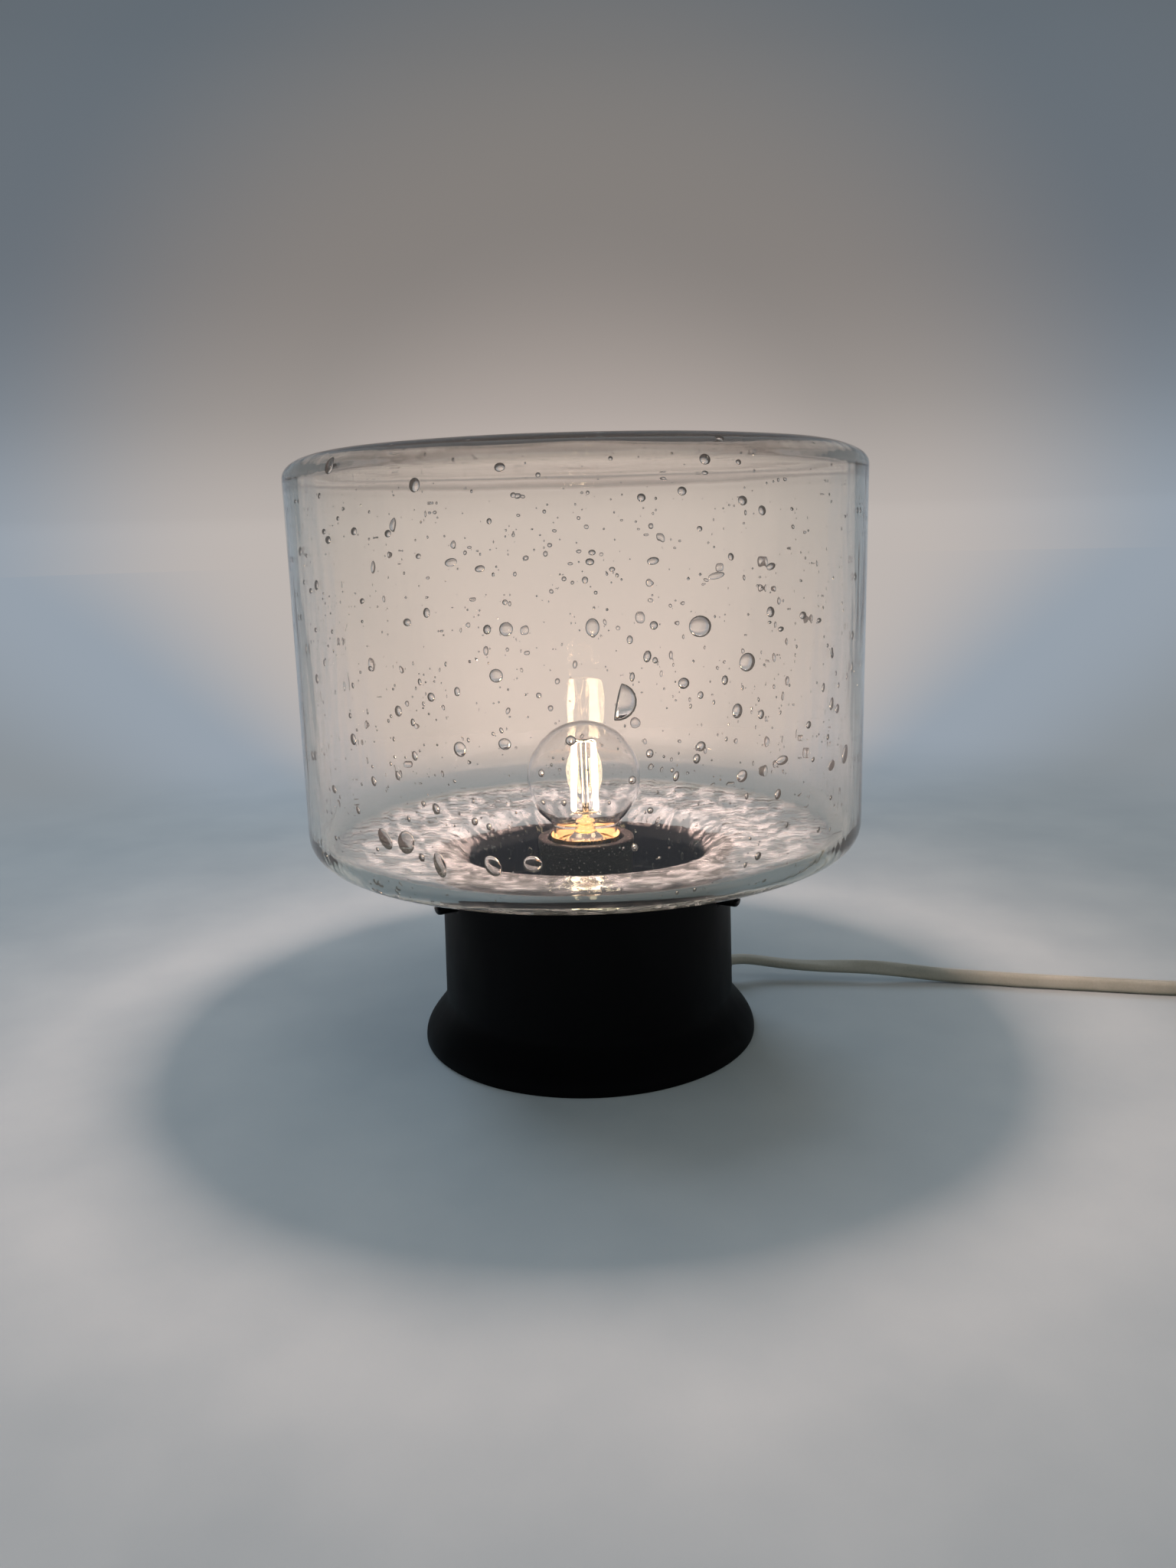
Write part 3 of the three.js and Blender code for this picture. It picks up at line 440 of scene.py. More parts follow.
relief = {
    "start": (41, 37.8, 9.5), "angle": 15, "length": 23.1, "edge": 0.3,
    "radius": 4.3, "collar": 5.3, "collarFrom": 13.8, "collarTo": 15.2, "slope": 0.2, "mouth": 4,
    "grooves": 5, "pitch": 1.5, "depth": 0.5, "groove": 0.35, "crestFrom": 0.55, "crestTo": 1.3,
    "crest": 4.9, "taper": 0.16,  # the first crest's radius and how much each next one is smaller
}


def addRelief():
    radius, collar, mouth = relief["radius"], relief["collar"], relief["mouth"]
    low, high, end, edge = relief["collarFrom"], relief["collarTo"], relief["length"], relief["edge"]
    points = [(0, 0), (radius - edge, 0), (radius, edge), (radius, low - relief["slope"]),
              (collar - edge, low), (collar, low + edge), (collar, high - edge), (collar - edge, high)]
    for i in range(relief["grooves"]):
        height = high + edge + i * relief["pitch"]
        crest = relief["crest"] - relief["taper"] * i
        root = crest - relief["depth"]
        points += [(root, height), (root, height + relief["groove"]),
                   (crest, height + relief["crestFrom"]), (crest, height + relief["crestTo"])]
    points += [(mouth, end - edge), (mouth - edge, end), (0, end)]
    piece = turned("cord_relief_sleeve", points, 40, 50, place=relief["start"],
                   direction=heading(relief["angle"]))
    return dress(piece, "base", finishes["ivoryPlastic"], "ivory_plastic", "cord_relief")


cordPiece, cordLine = addCord()
reliefPiece = addRelief()
tie = softened("coil_tie_band", "cord_tie", "base", finishes["greyTie"], "grey_tie", 0.15)


# Plug: a flat body with a grip on each side and two pins with insulating collars

plug = {
    "place": (332.5, -73.3, 7), "edge": 0.5,
    "ribs": 5, "rib": (0.9, 1.3, 9), "ribEdge": 0.3, "ribLean": 28.4,
    "firstRib": (9.0, -16.2), "ribStep": (1.32, -2.44),
    "pinsFrom": -47.3, "spread": 18.6, "lean": 1.6,
    "pinRadius": 2, "pinLength": 19, "pinTip": 1.5, "pinCollar": 9.8,
}


def addGrips():
    grips = bmesh.new()
    for side in (-1, 1):
        lean = Matrix.Rotation(side * math.radians(plug["ribLean"]), 4, "Z")
        for i in range(plug["ribs"]):
            rib = bmesh.ops.create_cube(grips, size=1)["verts"]
            bmesh.ops.scale(grips, vec=[size * mm for size in plug["rib"]], verts=rib)
            across, back = (start + step * i for start, step in zip(plug["firstRib"], plug["ribStep"]))
            spot = Vector(plug["place"]) + Vector((side * across, back, 0))
            bmesh.ops.transform(grips, matrix=Matrix.Translation(spot * mm) @ lean, verts=rib)
    bevelled(grips, plug["ribEdge"], 40)
    return newObject("plug_grips", toMesh(grips, "grips", 50))


def addPlug():
    ivory = finishes["ivoryPlastic"]
    body = softened("plug_shell", "plug_body", "base", ivory, "ivory_plastic", plug["edge"], 40)
    pieces = [body, dress(addGrips(), "base", ivory, "ivory_plastic")]
    radius, length, tip, joint = plug["pinRadius"], plug["pinLength"], plug["pinTip"], plug["pinCollar"]
    lean = math.radians(plug["lean"])
    bare = [(0, joint), (radius, joint)] + arc((0, length - tip), radius, tip, 0, 90, 6)
    collar = [(0, 0), (radius, 0), (radius, joint - 0.1), (radius - 0.1, joint), (0, joint)]
    for i, side in enumerate((-1, 1)):
        start = Vector(plug["place"]) + Vector((side * plug["spread"] / 2, plug["pinsFrom"], 0))
        direction = Vector((-side * math.sin(lean), -math.cos(lean), 0))
        pin = turned(f"pin_{i + 1}_metal", bare, 32, place=start, direction=direction)
        sleeve = turned(f"pin_{i + 1}_collar", collar, 32, place=start, direction=direction)
        pieces.append(dress(pin, "base", finishes["nickel"], "nickel", f"plug_pin_{i + 1}"))
        pieces.append(dress(sleeve, "base", finishes["blackGlass"], "black_glass"))
    return pieces


plugPieces = addPlug()
print("cord and plug laid")


# Canopy: spun black sheet with three screw holes and a cord hole

canopy = {
    "radius": 57.6, "waist": 58.5, "foot": 67.5, "height": 72, "sheet": 1.2, "rimRound": 0.35,
    "flareBottom": 1, "flareTop": 18.5, "flareSteps": 28, "footEdge": 0.3, "hemInner": 62.5, "hemEdge": 0.2,
    "screwHeight": 62.5, "screwAzimuths": (-30, -150, 90), "screwHole": 2.3,
    "screwHoleFrom": 54, "screwHoleDepth": 6, "cordHole": 4.6, "cordHoleFrom": 6, "cordHoleTo": 24,
}


def flareRadius(share):
    wide = canopy["foot"] - canopy["waist"]
    return canopy["waist"] + wide * (1 + math.cos(math.pi * share)) / 2


# Sprayed black lacquer on steel: a deep black that is only a little grey with dust, and no sharp highlight

def addLacquer():
    material, tree, shader, place = newMaterial("blackLacquer", {"Specular IOR Level": 0.1})
    dust = addNoise(tree, place, 1 / (0.35 * mm), 2)
    spray = addNoise(tree, place, 1 / (0.8 * mm), 3)
    clouds = addNoise(tree, place, 1 / (22 * mm), 4, (1, 1, 0.5))
    specks = addRange(tree, dust, 0, 1, 0.74, 0.8)
    both = addBlend(tree, clouds, specks, 0.7)
    colour = addColours(tree, both, [(0.3, "#000001"), (0.62, "#020203"), (0.95, "#2b2a29")])
    tree.links.new(colour, shader.inputs["Base Color"])
    tree.links.new(addRange(tree, clouds, 0.46, 0.62), shader.inputs["Roughness"])
    addBump(tree, shader, spray, 0.012)
    return material


def addHole(place, direction, radius, start, end, steps):  # a round cutter
    points = [(0, start), (radius, start), (radius, end), (0, end)]
    return turned("hole", points, steps, place=place, direction=direction)


def addCanopy():
    wall, waist, foot, sheet = canopy["radius"], canopy["waist"], canopy["foot"], canopy["sheet"]
    low, high, top, steps = canopy["flareBottom"], canopy["flareTop"], canopy["height"], canopy["flareSteps"]
    bend, hem, edge = canopy["rimRound"], canopy["hemInner"], canopy["hemEdge"]
    flare = [(flareRadius(i / steps), low + (high - low) * i / steps) for i in range(steps + 1)]
    points = [(foot - canopy["footEdge"], 0), (foot, canopy["footEdge"])] + flare
    points += along((waist, high), (wall, top - bend), 8)
    points += arc((wall - bend, top - bend), bend, bend, 0, 90, 3)
    points += arc((wall - sheet + bend, top - bend), bend, bend, 90, 180, 3)
    points += along((wall - sheet, top - bend), (waist - sheet, high), 8)
    points += [(radius - sheet, height) for radius, height in flare[:1:-1]]
    points += [(hem + edge, sheet), (hem, sheet - edge), (hem, edge), (hem + edge, 0)]
    piece = turned("canopy", points, 160, 40, closed=True)
    cutters = []
    for outward in map(heading, canopy["screwAzimuths"]):
        start = outward * canopy["screwHoleFrom"] + Vector((0, 0, canopy["screwHeight"]))
        cutters.append(addHole(start, outward, canopy["screwHole"], 0, canopy["screwHoleDepth"], 32))
    cutters.append(addHole(relief["start"], heading(relief["angle"]), canopy["cordHole"],
                           canopy["cordHoleFrom"], canopy["cordHoleTo"], 40))
    carve(piece, cutters)
    return dress(piece, "base", addLacquer(), "black_lacquer", "canopy_shell")


addCanopy()
print("canopy spun")


# What the canopy holds: each piece is a copy of its solid with its edges broken

fittings = {  # piece: (node, how many, finish, slot, broken edge in mm); several of a kind are numbered
    "bridge": ("mounting_bridge", 1, "zincSteel", "zinc_steel", 0.25),
    "nipple_tube": ("threaded_nipple", 1, "zincSteel", "zinc_steel", 0.2),
    "nipple_lock_nut": ("nipple_nut", 1, "zincSteel", "zinc_steel", 0.3),
    "nipple_flat_washer": ("nipple_washer", 1, "zincSteel", "zinc_steel", 0.15),
    "holder_cup": ("holder_base", 1, "phenolic", "bakelite", 0.35),
    "holder_ceramic": ("holder_insert", 1, "porcelain", "porcelain", 0.3),
    "contact_spring": ("centre_contact", 1, "brass", "brass", 0.1),
    "contact_side": ("side_contact", 1, "brass", "brass", 0.1),
    "sleeve_shell": ("thread_sleeve", 1, "brass", "brass", 0.1),
    "terminal_housing": ("terminal_block", 1, "nylon", "nylon", 0.3),
    "terminal_head": ("terminal_screw", 4, "brass", "brass", 0.1),
    "clamp_housing": ("cord_clamp", 1, "nylon", "nylon", 0.3),
    "clamp_head": ("cord_clamp_screw", 2, "zincSteel", "zinc_steel", 0.15),
    "wall_nut": ("clamp_nut", 3, "zincSteel", "zinc_steel", 0.2),
}

for name, (node, count, finish, slot, edge) in fittings.items():
    for number in [f"_{i + 1}" for i in range(count)] if count > 1 else [""]:
        softened(name + number, node + number, "base", finishes[finish], slot, edge)
for i in (1, 2, 3):
    softened(f"clamp_thumb_{i}", f"clamp_screw_{i}", f"screw_{i}", finishes["blackenedSteel"],
             "blackened_steel", 0.2)
    softened(f"soft_tip_{i}", f"screw_tip_{i}", f"tip_{i}", finishes["nylon"], "nylon", 0.15)

leads = {  # piece: (node, finish, slot, radius, places along it)
    "live_wire": ("live_lead", "brownWire", "brown_wire", 1.1, [
        (18.2, -9.5, 11.5), (18.2, -14, 11.5), (15, -18.5, 11.2), (8, -17, 10.4), (2.9, -10, 9.8),
        (1.5, -3.4, 10.6), (1.45, -0.2, 15), (1.45, 0, 22), (1.45, 0, 28.5), (3, 0, 31.4), (7, 0, 32.6)]),
    "neutral_wire": ("neutral_lead", "blueWire", "blue_wire", 1.1, [
        (26.2, -9.5, 11.5), (26.2, -15, 11.5), (22, -22, 11), (12, -24, 10), (0.5, -17, 9.2),
        (-2.2, -6.5, 9.8), (-1.5, -0.4, 15), (-1.45, 0, 22), (-1.45, 0, 28.5), (-3, 0, 31.4), (-7, 0, 32.6)]),
}
for name, (node, finish, slot, radius, points) in leads.items():
    dress(tube(name, smoothPath(points, 0.8), radius=radius), "base", finishes[finish], slot, node)
print("kinds of fittings softened:", len(fittings), "leads laid:", len(leads))


# Glass shade: one closed wall, the same number of points on its outer and inner side

shade = {
    "outside": {"radius": 108, "top": 229.4, "run": 16.5, "rise": 8, "heel": 10.3, "plate": 79.9,
                "throat": 77.5, "neck": 51.5, "lip": 10.8},
    "inside": {"radius": 103.8, "top": 225.0, "run": 6.5, "rise": 5.7, "heel": 8.2, "plate": 84.1,
               "throat": 80.9, "neck": 45.4, "lip": 14},
    "neckEnd": 57.1,
    "neckRound": 2.1,  # how far the neck's round end reaches down
    "wave": 0.1,  # how far the blown surface wanders, mm
    "waveSize": 42,
    "skinsApart": 2.3,  # the outer and the inner skin wander differently
    "stillTo": 30,  # it fades out within this radius of the crown's middle
}


def sagging(start, end, steps):  # the lower plate, which sinks softly towards the neck
    points = []
    for i in range(1, steps):
        share = i / steps
        points.append((start[0] + (end[0] - start[0]) * share, start[1] + (end[1] - start[1]) * ease(share)))
    return points


# From the crown's middle to the neck's end: run and rise are the crown's round edge

def shadeSkin(radius, top, run, rise, heel, plate, throat, neck, lip):
    points = [(0, top)] + along((0, top), (radius - run, top), 16)
    points += arc((radius - run, top - rise), run, rise, 90, 0, 10)
    points += along((radius, top - rise), (radius, plate + heel), 34)
    points += arc((radius - heel, plate + heel), heel, heel, 0, -90, 10)
    points += sagging((radius - heel, plate), (neck + lip, throat), 12)
    points += arc((neck + lip, throat - lip), lip, lip, 90, 180, 10)
    foot = (neck, shade["neckEnd"])
    return points + along((neck, throat - lip), foot, 4) + [foot]


bubbleGlass = {
    "ior": 1.52, "colour": "#fffcfa", "plateColour": "#f0f7fb",
    "tint": "#b9cdc0", "density": 42.0,  # green-grey where the eye looks along the wall
    "bump": 0.55, "streakShare": 1.4,
    "plateTop": (85, 90), "plateEdge": (88, 99),  # streaks end between these heights and radii, mm
    "neckTop": (74, 80),  # above the neck the plate has a shine
    "shine": (0.006, 0.085), "shineFrom": 0.47, "shineTo": 0.63,
    "bloomFrom": 76, "bloomTo": 104, "bloomed": 0.9905,  # the neck is clean, the drum has a faint bloom
}


# Blown soda glass: clear, with slow waves in its skin, streaks across the lower plate and darker edges

def addShadeGlass():
    look = bubbleGlass
    material, tree, shader, place = newMaterial("bubbleGlass", {
        "Base Color": toLinear(look["colour"]), "Roughness": 0.0, "IOR": look["ior"]})
    tint = addNode(tree, "ShaderNodeVolumeAbsorption", None, {
        "Color": toLinear(look["tint"]), "Density": look["density"]})
    tree.links.new(tint.outputs[0], tree.nodes["out"].inputs["Volume"])
    parts = addNode(tree, "ShaderNodeSeparateXYZ", None, {"Vector": place}).outputs
    flat = addNode(tree, "ShaderNodeCombineXYZ", None, {"X": parts["X"], "Y": parts["Y"]}).outputs[0]
    radius = addMath(tree, "MAXIMUM", addLength(tree, flat), 1 * mm)
    cosine = addMath(tree, "DIVIDE", parts["X"], radius)
    sine = addMath(tree, "DIVIDE", parts["Y"], radius)
    rolled = addNode(tree, "ShaderNodeCombineXYZ", None, {  # round the drum, with no seam
        "X": addMath(tree, "MULTIPLY", cosine, 5.5), "Y": addMath(tree, "MULTIPLY", sine, 5.5),
        "Z": addMath(tree, "ADD", addMath(tree, "MULTIPLY", parts["Z"], 11),
                     addMath(tree, "MULTIPLY", radius, 13))}).outputs[0]
    waves = addNoise(tree, rolled, 1.6, 2)
    streaked = addNode(tree, "ShaderNodeCombineXYZ", None, {  # across the lower plate and the neck
        "X": addMath(tree, "MULTIPLY", cosine, 6.5), "Y": addMath(tree, "MULTIPLY", sine, 6.5),
        "Z": addMath(tree, "MULTIPLY", radius, 95)}).outputs[0]
    streaks = addNode(tree, "ShaderNodeTexNoise", None, {
        "Vector": streaked, "Scale": 1.5, "Detail": 3, "Distortion": 1.1}).outputs[0]
    low = addMath(tree, "MULTIPLY", addFade(tree, parts["Z"], *look["plateTop"], 1, 0),
                  addFade(tree, radius, *look["plateEdge"], 1, 0))
    plateOnly = addMath(tree, "MULTIPLY", low, addFade(tree, parts["Z"], *look["neckTop"]))
    height = addMath(tree, "ADD", addMath(tree, "MULTIPLY", waves, 0.5),
                     addMath(tree, "MULTIPLY", streaks, addMath(tree, "MULTIPLY", low, look["streakShare"])))
    addBump(tree, shader, height, look["bump"], 0.5)
    shine = addMath(tree, "MULTIPLY", plateOnly,
                    addRange(tree, streaks, *look["shine"], look["shineFrom"], look["shineTo"]))
    clarity = addFade(tree, parts["Z"], look["bloomFrom"], look["bloomTo"], 1.0, look["bloomed"])
    tree.links.new(addMath(tree, "SUBTRACT", clarity, shine), shader.inputs["Transmission Weight"])
    colour = addColours(tree, plateOnly, [(0, look["colour"]), (1, look["plateColour"])])
    tree.links.new(colour, shader.inputs["Base Color"])
    return material


def addShade():
    outer, inner = shadeSkin(**shade["outside"]), shadeSkin(**shade["inside"])
    wide, narrow = shade["outside"]["neck"], shade["inside"]["neck"]
    middle = ((wide + narrow) / 2, shade["neckEnd"])
    neckEnd = arc(middle, (wide - narrow) / 2, shade["neckRound"], 0, -180, 8)[1:-1]
    bm = spun(outer + neckEnd + inner[::-1], 192)
    bm.normal_update()
    for v in bm.verts:
        spot = v.co / (shade["waveSize"] * mm) + v.normal * shade["skinsApart"]
        fade = min(1, math.hypot(v.co.x, v.co.y) / (shade["stillTo"] * mm))
        v.co += v.normal * noise.noise(spot) * shade["wave"] * mm * fade
    piece = newObject("shade", toMesh(bm, "shade", 80))
    return dress(piece, "shade", addShadeGlass(), "bubble_glass", "glass_shade")


shadePiece = addShade()
print("shade blown")


# Bubbles in the glass: air, drawn as closed skins inside the wall

bubbles = {
    "large": [  # (azimuth from the front, height, width, tall, lean in degrees)
        (20, 171, 7.5, 6.6, 0), (29, 159, 6.1, 5.8, 30), (2, 172, 4.2, 5.5, 0), (-12, 172, 4.3, 4.2, 0),
        (-14, 158, 4.3, 4.2, 0), (-27, 215, 3.8, 4.8, 10), (-47, 222, 4.5, 5.1, 10),
        (-12, 219, 3.3, 2.8, 0), (21, 220, 3.6, 3.4, 0), (-38, 103, 5.9, 8.2, 15),
        (-33, 103, 6.6, 9.6, -25), (-26, 97, 4.4, 10.2, 0), (-16, 98, 5.6, 8.2, 10), (-9, 99, 6.1, 6.6, 0),
        (28, 208, 3.3, 3.1, 0), (23, 186, 5.7, 2.1, 10), (34, 188, 3.8, 2.2, 15), (12, 191, 3.8, 2.3, 10),
        (17, 211, 2.9, 2.8, 0), (32, 205, 2.9, 3.2, 0), (34, 174, 3.2, 3.4, 0), (42, 172, 3.4, 2.5, 0),
        (12, 172, 2.6, 2.6, 0), (17, 154, 3.7, 3.5, 0), (58, 122, 5.1, 7.1, 0), (-21, 192, 4.1, 2.6, 8),
        (-16, 190, 3.2, 2.1, 8), (-26, 177, 2.4, 3.1, 0), (-41, 202, 2.8, 2.6, 0), (-10, 211, 1.7, 1.7, 0),
        (-27, 194, 1.9, 1.7, 0), (-30, 174, 3, 2.4, 0), (-12, 180, 1.7, 1.7, 0), (1, 186, 1.9, 2.1, 0),
        (20, 200, 1.8, 1.7, 0), (-21, 153, 2, 2.9, 0), (-26, 151, 2.7, 2.9, 0), (-33, 146, 2.9, 3.6, 0),
        (-45, 135, 3, 4, 0), (-21, 135, 4.3, 5, 0), (-13, 137, 4.1, 3.8, 0), (-30, 132, 2.2, 3.3, 0),
        (-34, 125, 2, 3.3, 0), (-40, 122, 2.2, 3.6, 0), (-63, 125, 3.7, 3.6, 0), (-45, 111, 2, 3.1, 0),
        (-7, 152, 1.7, 1.7, 0), (20, 150, 2, 2.4, 0), (27, 144, 3.8, 4.8, 0), (32, 142, 2.5, 3.1, 0),
        (44, 136, 2.7, 2.6, 0), (54, 139, 2.8, 3.3, 0), (20, 134, 3.3, 3.3, 0), (37, 126, 5.4, 3.3, 0),
        (52, 120, 4.6, 4, 0), (28, 123, 4, 4.3, 0), (11, 133, 2.4, 2.9, 0), (8, 125, 2.4, 2.9, 0),
        (-7, 128, 1.9, 2.6, 0), (-2, 138, 3.3, 3.3, 0), (36, 115, 2.7, 3.8, 0), (8, 168, 1.9, 2.6, 0),
        (-39, 159, 2.1, 1.7, 0), (-53, 116, 2.8, 3.1, 0), (-61, 196, 3.4, 3.3, 0), (-33, 201, 2.6, 2.4, 0),
        (-57, 183, 2.6, 1.9, 0), (-56, 170, 2.1, 1.7, 0),
    ],
    "moon": (6.8, 149, 11.4, 11.6, -12),
    "thickest": 1.3,  # half of a bubble's depth in the wall, mm
    "apart": 0.4,  # clear space round the large ones
    "middling": 640, "middlingSize": (1.1, 2.3),  # mm: the least, and what chance adds at most
    "highFrom": 165, "highStretch": (0.62, 0.8, 1, 1.15), "lowStretch": (1.1, 0.75),
    "behind": 90, "behindSize": (2, 3), "behindAzimuths": (98, 262), "behindHeights": (92, 214),
    "seeds": 1900, "seedSize": (0.45, 0.6),
    "firstPoint": 14,  # of the skin, where the crown's round edge is near
    "wallRadius": 106, "wallFrom": 80,  # the drum's middle radius, and the least that counts as drum
    "neckFrom": 64, "neckWeight": 190, "wallWeight": 20,  # within this radius they lie closer
}


def wallLine():  # the middle of the wall from the crown's edge to the neck, and its direction out
    outer, inner = (shadeSkin(**shade[side])[bubbles["firstPoint"]:] for side in ("outside", "inside"))
    line = []
    for a, b in zip(outer, inner):
        middle = Vector(((a[0] + b[0]) / 2, (a[1] + b[1]) / 2))
        line.append((middle, Vector((a[0] - b[0], a[1] - b[1])).normalized()))
    return line


def wallAt(line, step):
    i = min(int(step), len(line) - 2)
    (spot, outward), (nextSpot, nextOutward) = line[i], line[i + 1]
    return spot.lerp(nextSpot, step - i), outward.lerp(nextOutward, step - i).normalized()


def stepAt(line, height):  # where along the wall a height is, outside the plate
    for i, ((low, _), (high, _)) in enumerate(zip(line, line[1:])):
        if low.y >= height >= high.y and low.x > bubbles["wallFrom"]:
            return i + (low.y - height) / max(low.y - high.y, 1e-6)
    return 0


def ballMesh(detail):
    bm = bmesh.new()
    bmesh.ops.create_icosphere(bm, subdivisions=detail, radius=1)
    return toMesh(bm, "ball")


balls = {detail: ballMesh(detail) for detail in (1, 2, 3)}


def addBubble(bm, line, azimuth, step, width, tall, lean=0, detail=2, shape=None, flat=0.24):
    spot, outward = wallAt(line, step)
    side = heading(azimuth - 90)
    out = Vector((side.x * outward.x, side.y * outward.x, outward.y))
    around = Vector((-side.y, side.x, 0))
    up = out.cross(around).normalized()
    depth = min(bubbles["thickest"], min(width, tall) * flat)
    turn = Matrix((around, up, out)).transposed().to_4x4()
    place = Vector((side.x * spot.x, side.y * spot.x, spot.y)) * mm
    size = Matrix.Diagonal((width / 2 * mm, tall / 2 * mm, depth * mm, 1))
    matrix = Matrix.Translation(place) @ turn @ Matrix.Rotation(math.radians(lean), 4, "Z") @ size
    first = len(bm.verts)
    bm.from_mesh(balls[detail])
    bm.verts.ensure_lookup_table()
    for v in bm.verts[first:]:
        if shape:
            shape(v)
        v.co = matrix @ v.co


def moonShape(v):  # nearly flat on one side
    if v.co.x < 0:
        v.co.x *= 0.1
    v.co.x -= 0.3


def clearOfLarge(azimuth, height, width):  # small bubbles keep away from the large ones
    for row in bubbles["large"] + [bubbles["moon"]]:
        turn = (azimuth - row[0] + 180) % 360 - 180
        apart = math.hypot(math.radians(turn) * bubbles["wallRadius"], height - row[1])
        if apart < (width + max(row[2], row[3])) / 2 + bubbles["apart"]:
            return False
    return True


# Air in glass: each bubble is a bright speck with a dark ring, as light bends the other way there

def addBubbleAir():
    material = bpy.data.materials.new("bubbleAir")
    material.use_nodes = True
    tree = material.node_tree
    tree.nodes.clear()
    place = addNode(tree, "ShaderNodeTexCoord").outputs["Object"]
    ripple = addNoise(tree, place, 1 / (1.4 * mm), 1)
    bump = addNode(tree, "ShaderNodeBump", None, {"Height": ripple, "Distance": 0.02 * mm, "Strength": 0.4})
    skin = addNode(tree, "ShaderNodeBsdfGlass", None, {
        "Color": (1, 1, 1, 1), "Roughness": 0.0, "IOR": 1 / bubbleGlass["ior"], "Normal": bump.outputs[0]})
    addNode(tree, "ShaderNodeOutputMaterial", {"name": "out"}, {"Surface": skin.outputs[0]})
    return material


def addBubbles():
    line = wallLine()
    dice = random.Random(41)
    bm = bmesh.new()
    for azimuth, height, width, tall, lean in bubbles["large"]:  # low ones are flat, for a thin ring
        addBubble(bm, line, azimuth, stepAt(line, height), width, tall, lean, 3,
                  flat=0.21 if width < 4 else 0.12 if height > 120 else 0.045)
    azimuth, height, width, tall, lean = bubbles["moon"]
    addBubble(bm, line, azimuth, stepAt(line, height), width, tall, lean, 3, moonShape, 0.1)
    spots = [spot for spot, _ in line]
    weights = []
    for a, b in zip(spots, spots[1:]):
        onWall = a.x > bubbles["neckFrom"]
        weights.append((b - a).length * (a.x + bubbles["wallWeight"] if onWall else bubbles["neckWeight"]))

    def anywhere():
        return dice.choices(range(len(weights)), weights)[0] + dice.random()

    def someSize(least, extra, power):
        return least + extra * dice.random() ** power

    for i in range(bubbles["middling"]):
        step = anywhere()
        height = wallAt(line, step)[0].y
        size = someSize(*bubbles["middlingSize"], 2)
        if height > bubbles["highFrom"]:
            stretch = dice.choice(bubbles["highStretch"])
        else:
            stretch = someSize(*bubbles["lowStretch"], 1)
        azimuth, lean = dice.uniform(-180, 180), dice.gauss(0, 9)
        if clearOfLarge(azimuth, height, size):
            addBubble(bm, line, azimuth, step, size / stretch ** 0.4, size * stretch ** 0.6, lean)
    low, high = bubbles["behindHeights"]
    for i in range(bubbles["behind"]):
        step = anywhere()
        size = someSize(*bubbles["behindSize"], 2)
        tall = size * dice.uniform(0.8, 1.5)
        azimuth, lean = dice.uniform(*bubbles["behindAzimuths"]), dice.gauss(0, 12)
        if low < wallAt(line, step)[0].y < high:
            addBubble(bm, line, azimuth, step, size, tall, lean, 3, flat=0.16)
    for i in range(bubbles["seeds"]):
        step = anywhere()
        size = someSize(*bubbles["seedSize"], 1.5)
        azimuth, tall = dice.uniform(-180, 180), size * dice.uniform(0.9, 1.5)
        if clearOfLarge(azimuth, wallAt(line, step)[0].y, size):
            addBubble(bm, line, azimuth, step, size, tall, detail=1, flat=0.4)
    piece = newObject("shade_bubbles", toMesh(bm, "bubbles", 180))
    return dress(piece, "shade", addBubbleAir(), "bubble_glass")


bubblePiece = addBubbles()
print("bubbles in the wall:", len(bubblePiece.data.polygons), "faces")


# Holder skirt: stepped rim, dusty black moulding whose black is darkened with painted shade

skirt = {
    "radius": 18.8, "bottom": 47, "edge": 0.3, "rim": 19.4, "rimSlope": 0.4, "rimFrom": 77,
    "top": 81, "rimRound": 0.8,
    "mouth": 15.6, "mouthRound": 0.6, "ledge": 77, "bore": 14.3, "floor": 49.7, "hole": 12.8,
}


# Black moulding under fine dust, with pale specks that catch the bulb's light; its base is darker than the
# moulding alone, a painted shade for the bulb's cap shading the collar

def addShadedDustyBlack():
    material, tree, shader, place = newMaterial("dustyBlackPaintedShade", {"Specular IOR Level": 0.12})
    clouds = addNoise(tree, place, 1 / (6 * mm), 5)
    fine = addNoise(tree, place, 1 / (0.8 * mm), 2)
    dust = addMath(tree, "MULTIPLY", addRange(tree, clouds, 0, 0.5, 0.42, 0.7),
                   addRange(tree, fine, 0.2, 1, 0.35, 0.65))
    specks = addRange(tree, fine, 0, 1, 0.64, 0.69)
    both = addMath(tree, "MAXIMUM", dust, specks)
    # the two dark stops are black moulding and painted shade together
    colour = addColours(tree, both, [(0, "#010101"), (0.5, "#0c0a0a"), (1, "#a39c98")])
    tree.links.new(colour, shader.inputs["Base Color"])
    tree.links.new(addRange(tree, both, 0.45, 0.8, 0, 0.8), shader.inputs["Roughness"])
    addBump(tree, shader, fine, 0.02)
    return material


